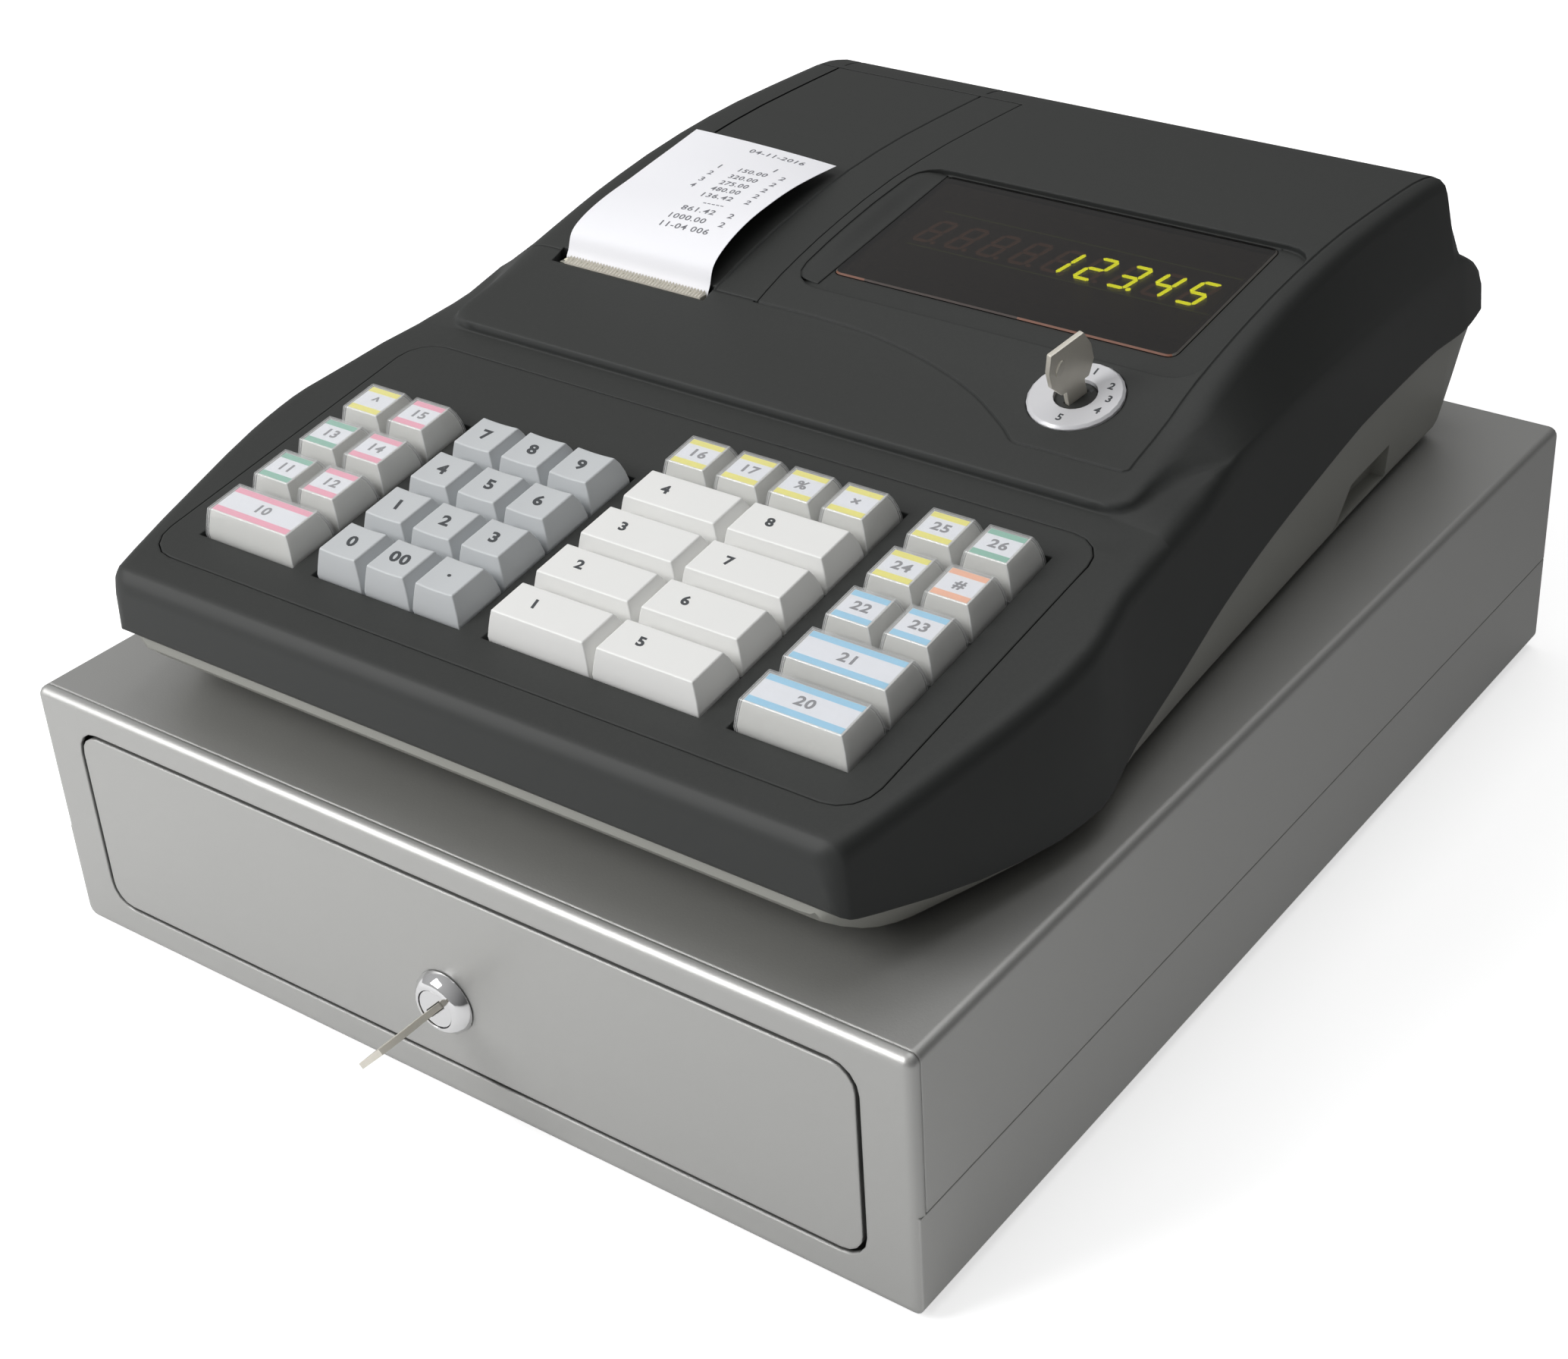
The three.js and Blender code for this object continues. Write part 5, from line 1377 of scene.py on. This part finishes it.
    def segments(self, place: Matrix, level: float) -> None:
        """Builds the lit segments of every cell, and the unlit ones whose faint glow is painted
        light.
        """
        wide, tall = self.digit_width, self.digit_height
        across = self.bar_model(wide - self.stroke - self.gap)
        upright = self.bar_model(tall / 2 - self.stroke / 2 - self.gap)
        upright.data.transform(turned(90, "Z"))
        dot = add_disc("dot", self.dot_sides, self.dot_radius, self.thickness, self.thickness / 2)
        x, y = (wide - self.stroke) / 2, (tall - self.stroke) / 2
        spots = {"a": (across, 0, y), "g": (across, 0, 0), "d": (across, 0, -y),
                 "b": (upright, x, y / 2), "c": (upright, x, -y / 2),
                 "e": (upright, -x, -y / 2), "f": (upright, -x, y / 2),
                 ".": (dot, x + self.dot_shift, -y)}
        lean = Matrix.Identity(4)
        lean[0][1] = self.slant
        groups = {True: [], False: []}
        digits = self.reading.replace(".", "")
        first = self.cells - len(digits)
        point_cell = first + self.reading.index(".") - 1
        for cell in range(self.cells):
            shown = LIT_SEGMENTS[digits[cell - first]] if cell >= first else ""
            shown += "." if cell == point_cell else ""
            centre = Matrix.Translation((self.first_cell + cell * self.pitch,
                                         self.digit_front + tall / 2, level))
            for name, (model, *spot) in spots.items():
                move = centre @ lean @ Matrix.Translation((*spot, 0))
                groups[name in shown].append(copied(model, "part", move))
        for lit, parts in groups.items():
            piece = joined(parts)
            piece.name = "segments_lit" if lit else "segments_unlit_painted_glow"
            piece.data.transform(place)
            ready(piece, "cabinet", Finishes.lit if lit else Finishes.unlit)
        discard(across, upright, dot)


@dataclass
class ControlLock:
    """The control lock with its numbered dial and its key. Angles are in degrees."""

    number_radius: float = 10.6 * MM
    numbers: Lettering = Lettering(Finishes.digit, 2.8 * MM, 0.1 * MM)
    positions: tuple = (86.0, 37.0, 6.5, -23.5, -86.0)
    mark_angle: float = 52.0
    mark_radius: float = 4.9 * MM
    mark_size: float = 0.9 * MM
    mark_thickness: float = 0.1 * MM
    key_angle: float = 74.0
    bow_edge: float = 0.25 * MM
    boss_place: Point = (-4.37 * MM, 0.0, 14.7 * MM)
    boss_lean: float = -36.0
    boss_sides: int = 32
    boss_radius: float = 1.25 * MM
    boss_stretch: float = 2.1
    boss_depth: float = 2.9 * MM
    boss_edge: float = 0.3 * MM

    def build(self) -> None:
        """Builds the dial, its rotor and its key."""
        turn = joint("control_lock_turn")
        place = turned_frame(turn["pos_m"], Vector(turn["axis"]))
        parts = [coat(merged_copy("control_lock_ring", "dial_ring"), Finishes.dial)]
        _, high = local_box("control_lock_ring", place)
        for number, angle in enumerate(self.positions, 1):
            legend = lettered(str(number), self.numbers)
            spot = turned(angle, "Z") @ Vector((self.number_radius, 0, high.z))
            legend.data.transform(place @ Matrix.Translation(spot))
            parts.append(legend)
        ready(joined(parts), "cabinet", Finishes.dial, "control_lock_ring", whole=False)
        rotor = coat(merged_copy("control_lock_rotor", "dial_rotor"), Finishes.shell)
        _, top = local_box("control_lock_rotor", place)
        mark = add_disc("mark", 3, self.mark_size, self.mark_thickness, top.z)
        out = turned(self.mark_angle - 90, "Z") @ Matrix.Translation((0, self.mark_radius, 0))
        mark.data.transform(place @ out)
        coat(mark, Finishes.digit)
        ready(joined([rotor, mark]), "control_lock", Finishes.shell, "control_lock_rotor",
              whole=False)
        bow = merged_copy("control_key", "bow_key")
        soften(bow, self.bow_edge, 2)
        ready(joined([bow, self.boss(place)]), "control_lock", Finishes.nickel, "control_key")

    def boss(self, place: Matrix) -> bpy.types.Object:
        """Models the raised oval on the key's bow, in place."""
        piece = add_disc("boss", self.boss_sides, self.boss_radius, self.boss_depth)
        edit(piece)
        bpy.ops.transform.resize(value=(1, self.boss_stretch, 1), center_override=(0, 0, 0))
        deselect()
        soften(piece, self.boss_edge, 3)
        lean = turned(90, "X") @ turned(self.boss_lean, "Z")
        spot = turned(self.key_angle, "Z") @ Matrix.Translation(self.boss_place)
        piece.data.transform(place @ spot @ lean)
        return piece


@dataclass
class ReceiptPrinter:
    """The printer: cover, mechanism, roll and the printed receipt.

    Groove lines, rows and tags are in millimetres: a row has its place along the paper, its
    left and right ends and its text.
    """

    tooth_count: int = 45
    tooth_height: float = 1.3 * MM
    tooth_lean: float = 0.3 * MM
    bar_low: Point = (-107.6 * MM, 9.7 * MM, 163.8 * MM)
    bar_high: Point = (-50.8 * MM, 12.75 * MM, 166.0 * MM)
    path_start: tuple = (13.85 * MM, 162.1 * MM)
    path_run: float = 71 * MM
    path_rise: float = 24.7 * MM
    path_shares: tuple = ((0, 0), (0.004, 0.14), (0.022, 0.24), (0.06, 0.482), (0.166, 0.668),
                          (0.315, 0.814), (0.485, 0.907), (0.654, 0.968), (0.82, 0.992), (1, 1))
    paper_thickness: float = 0.12 * MM
    paper_columns: int = 16
    paper_steps: int = 60
    left_sag: float = 3.4 * MM
    left_sag_power: float = 1.2
    right_drop: float = 2.0 * MM
    lettering: Lettering = Lettering(Finishes.receipt_ink, 2.6 * MM, 0.02 * MM, 0.12 * MM)
    print_rise: float = 0.144 * MM
    most_stretch: float = 1.3
    rows: tuple = (
        (79.2, -82.8, -60.1, "04-11-2016"), (69.7, -66.2, -63.8, "1"),
        (65.0, -76.8, -65.4, "150.00"), (59.9, -76.8, -65.4, "320.00"),
        (55.2, -76.9, -65.4, "275.00"), (50.8, -77.2, -65.4, "480.00"),
        (46.3, -77.8, -65.4, "136.42"), (41.9, -74.6, -63.8, "-----"),
        (37.2, -78.8, -65.2, "861.42"), (32.4, -80.5, -65.8, "1000.00"),
        (28.0, -80.8, -61.2, "11-04 006"), (65.0, -85.6, -83.8, "1"),
        (59.9, -85.6, -83.8, "2"), (55.2, -85.6, -83.8, "3"), (50.8, -85.9, -84.1, "4"))
    tag_rows: tuple = (65.0, 59.9, 55.2, 50.8, 46.3, 37.2, 32.4)
    tag: tuple = (-59.6, -57.6, "2")
    groove_lines: tuple = (((-48.7, 15.4), (-48.7, 60), (-48.9, 120), (-48.9, 172.4)),
                           ((-109.4, 15.4), (-109.4, 60), (-110.0, 120), (-111.2, 172.4)))

    def build(self) -> None:
        """Builds all that belongs to the printer."""
        cover = merged_copy("printer_cover", "cover_moulding")
        for line in self.groove_lines:
            cut_line(cover, line)
        ready(cover, "cover", Finishes.shell, "printer_cover")
        dress("print_mechanism", "print_chassis", "cabinet", Finishes.zinc)
        self.build_tear_bar()
        dress("paper_roll", "till_roll", "roll", Finishes.paper)
        self.build_receipt()

    def build_tear_bar(self) -> None:
        """Builds the toothed bar that receipts are torn off against."""
        low, high = self.bar_low, self.bar_high
        bar = add_box("tear_bar", low, high)
        step = (high[0] - low[0]) / (2 * self.tooth_count)
        slice_at(bar, [low[0] + step * place for place in range(1, 2 * self.tooth_count)], 0)
        push(bar, lambda p: p.z > high[2] - WELD and p.y > high[1] - WELD
             and round((p.x - low[0]) / step) % 2 == 1, (0, self.tooth_lean, self.tooth_height))
        ready(bar, "cabinet", Finishes.tear_steel)

    def path(self) -> list[tuple[Vector, Vector]]:
        """Returns the places and directions along the paper, in the YZ plane."""
        y0, z0 = self.path_start
        knots = [Vector((0, y0 + run * self.path_run, z0 + rise * self.path_rise))
                 for run, rise in self.path_shares]
        last = len(knots) - 1
        track = []
        for step in range(self.paper_steps + 1):
            along = step / self.paper_steps * last
            i = min(int(along), last - 1)
            track.append(curve_point(knots[max(i - 1, 0)], knots[i], knots[i + 1],
                                     knots[min(i + 2, last)], along - i))
        ahead, behind = [*track[1:], track[-1]], [track[0], *track[:-1]]
        return [(p, (b - a).normalized()) for p, a, b in zip(track, behind, ahead)]

    def build_receipt(self) -> None:
        """Builds the paper strip along its path and prints its rows."""
        low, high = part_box("receipt_paper")
        track = self.path()
        sheet = add_grid("receipt_sheet", self.paper_columns, self.paper_steps)
        for vertex in sheet.data.vertices:
            point, _ = track[round((vertex.co.y + 0.5) * self.paper_steps)]
            vertex.co = (between(low.x, high.x, vertex.co.x + 0.5), point.y, point.z)
        apply_modifier(sheet, "SOLIDIFY", thickness=self.paper_thickness, offset=1.0)
        coat(sheet, Finishes.paper)
        tags = ((place, *self.tag) for place in self.tag_rows)
        strip = joined([sheet, *(self.printed_row(entry, track) for entry in (*self.rows, *tags))])
        for vertex in strip.data.vertices:
            across = clamped((vertex.co.x - low.x) / (high.x - low.x))
            along = clamped((vertex.co.y - self.path_start[0]) / self.path_run)
            bow = (1 - across) ** self.left_sag_power * math.sin(math.pi * along)
            vertex.co.z -= self.left_sag * bow + self.right_drop * across ** 2 * along ** 2
        ready(strip, "cover", Finishes.paper, "receipt_paper", whole=False)

    def printed_row(self, entry: tuple[float, float, float, str],
                    track: list) -> bpy.types.Object:
        """Prints one row on the paper.

        Args:
            entry: The row, as the class says.
            track: The places and directions along the paper.

        Returns:
            The row's characters.
        """
        y, left, right, text = entry
        pairs = zip(track, track[1:])
        (point, along), (ahead, _) = next(pair for pair in pairs if pair[1][0].y >= y * MM)
        centre = point.lerp(ahead, (y * MM - point.y) / (ahead.y - point.y))
        row = lettered(text, self.lettering)
        places = [vertex.co.x for vertex in row.data.vertices]
        wide = min((right - left) * MM / (max(places) - min(places)), self.most_stretch)
        across = Vector((1, 0, 0))
        normal = across.cross(along)
        basis = Matrix((across, along, normal)).transposed().to_4x4()
        spot = Vector(((left + right) / 2 * MM, centre.y, centre.z)) + normal * self.print_rise
        row.data.transform(Matrix.Translation(spot) @ basis @ Matrix.Diagonal((wide, 1, 1, 1)))
        return row


@dataclass(frozen=True)
class Lamp:
    """A soft square light: its name, place, target, size in metres and power in watts."""

    name: str
    place: Point
    target: Point
    size: float
    power: float


@dataclass
class Studio:
    """Camera, lights, floor and surround.

    The direction fields point to where the surround and the floor are brightest, and the
    range fields map the share in that direction to a strength or shade; the floor's darker rear
    right is painted shade.
    """

    location: Point = (0.4418715, -0.5686664, 0.4968972)
    right: Point = (0.82594542, 0.56303719, -0.02834248)
    up: Point = (-0.26865647, 0.43730751, 0.8582458)
    back: Point = (0.49561868, -0.70124979, 0.51245571)
    lens: float = 59.547
    sensor: float = 36.0
    shift: tuple = (-0.0916, -0.0388)
    surround_direction: Point = (-0.62, -0.45, 0.64)
    surround_range: tuple = (-0.4, 0.9, 0.1, 0.5)
    floor_size: float = 12.0
    floor_direction: Point = (-0.7, -0.7, 0)
    floor_range: tuple = (-0.45, 0.3, 0.28, 0.8)
    floor_shade: float = 0.8
    floor_glow: float = 0.6
    floor_gloss_glow: float = 0.3
    floor_roughness: float = 0.9
    floor_specular: float = 0.1
    lamps: tuple = (Lamp("key_light", (-1.3, -1.8, 1.7), (0.0, -0.02, 0.1), 1.3, 47.0),
                    Lamp("top_light", (0.1, 0.5, 2.1), (0.0, 0.0, 0.1), 1.4, 10.0))

    def build(self) -> None:
        """Builds the studio."""
        self.build_camera()
        self.build_world()
        self.build_floor()
        for lamp in self.lamps:
            self.add_light(lamp)
        bpy.context.scene.view_settings.view_transform = "Standard"

    def build_camera(self) -> None:
        """Places the camera where the photograph was taken from."""
        data = bpy.data.cameras.new("camera")
        assign(data, lens=self.lens, sensor_width=self.sensor, shift_x=self.shift[0],
               shift_y=self.shift[1])
        camera = linked("camera", data)
        turn = Matrix((self.right, self.up, self.back)).transposed()
        camera.matrix_world = Matrix.Translation(self.location) @ turn.to_4x4()
        bpy.context.scene.camera = camera

    def build_world(self) -> None:
        """Builds a pale surround, white to the camera and through glass, else dim at the right."""
        world = bpy.data.worlds.new("studio_surround")
        bpy.context.scene.world = world
        world.use_nodes = True
        graph = Graph(world.node_tree)
        direction = graph.add("ShaderNodeTexCoord").outputs["Generated"]
        towards = graph.dot(direction, self.surround_direction)
        rays = graph.add("ShaderNodeLightPath").outputs
        seen = graph.math("MAXIMUM", rays["Is Camera Ray"], rays["Is Transmission Ray"])
        strength = graph.blend(seen, graph.ramp(towards, self.surround_range), 1.0)
        background = world.node_tree.nodes["Background"]
        graph.feed(background, {"Strength": strength, "Color": WHITE})

    def build_floor(self) -> None:
        """Lays the pale floor, even to the camera, with painted shade towards its rear right for
        all other rays.
        """
        deselect()
        bpy.ops.mesh.primitive_plane_add(size=self.floor_size, location=(0, 0, 0))
        floor = started("studio_floor")
        material, graph, shader, place = started_material("pale_floor")
        # Painted shade: the floor darkens towards its rear right for all but camera rays, so what
        # faces it there is lit less and reflects less.
        share = graph.ramp(graph.dot(place, self.floor_direction), self.floor_range)
        rays = graph.add("ShaderNodeLightPath").outputs
        shade = graph.blend(rays["Is Camera Ray"], share, self.floor_shade)
        direct = graph.math("MULTIPLY", rays["Is Camera Ray"], self.floor_glow)
        gloss = graph.math("MULTIPLY", rays["Is Glossy Ray"], share)
        gloss = graph.math("MULTIPLY", gloss, self.floor_gloss_glow)
        grey = graph.add("ShaderNodeCombineColor", {0: shade, 1: shade, 2: shade}).outputs[0]
        graph.feed(shader, {"Base Color": grey, "Roughness": self.floor_roughness,
                            "Specular IOR Level": self.floor_specular, "Emission Color": WHITE,
                            "Emission Strength": graph.math("ADD", direct, gloss)})
        floor.data.materials.append(material)

    @staticmethod
    def add_light(lamp: Lamp) -> None:
        """Adds a lamp that points at its target."""
        data = bpy.data.lights.new(lamp.name, "AREA")
        assign(data, size=lamp.size, energy=lamp.power)
        light = linked(lamp.name, data)
        aim = (Vector(lamp.target) - Vector(lamp.place)).to_track_quat("-Z", "Y")
        light.matrix_world = Matrix.Translation(lamp.place) @ aim.to_matrix().to_4x4()


def main() -> None:
    """Builds every sub-assembly in order."""
    logging.basicConfig(level=logging.INFO, format="%(message)s")
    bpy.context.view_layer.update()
    for part in (Studio(), CashCabinet(), CashDrawer(), DrawerLock(), RegisterBody(), Keyboard(),
                 DisplayPanel(), ControlLock(), ReceiptPrinter()):
        part.build()


if __name__ == "__main__":
    main()
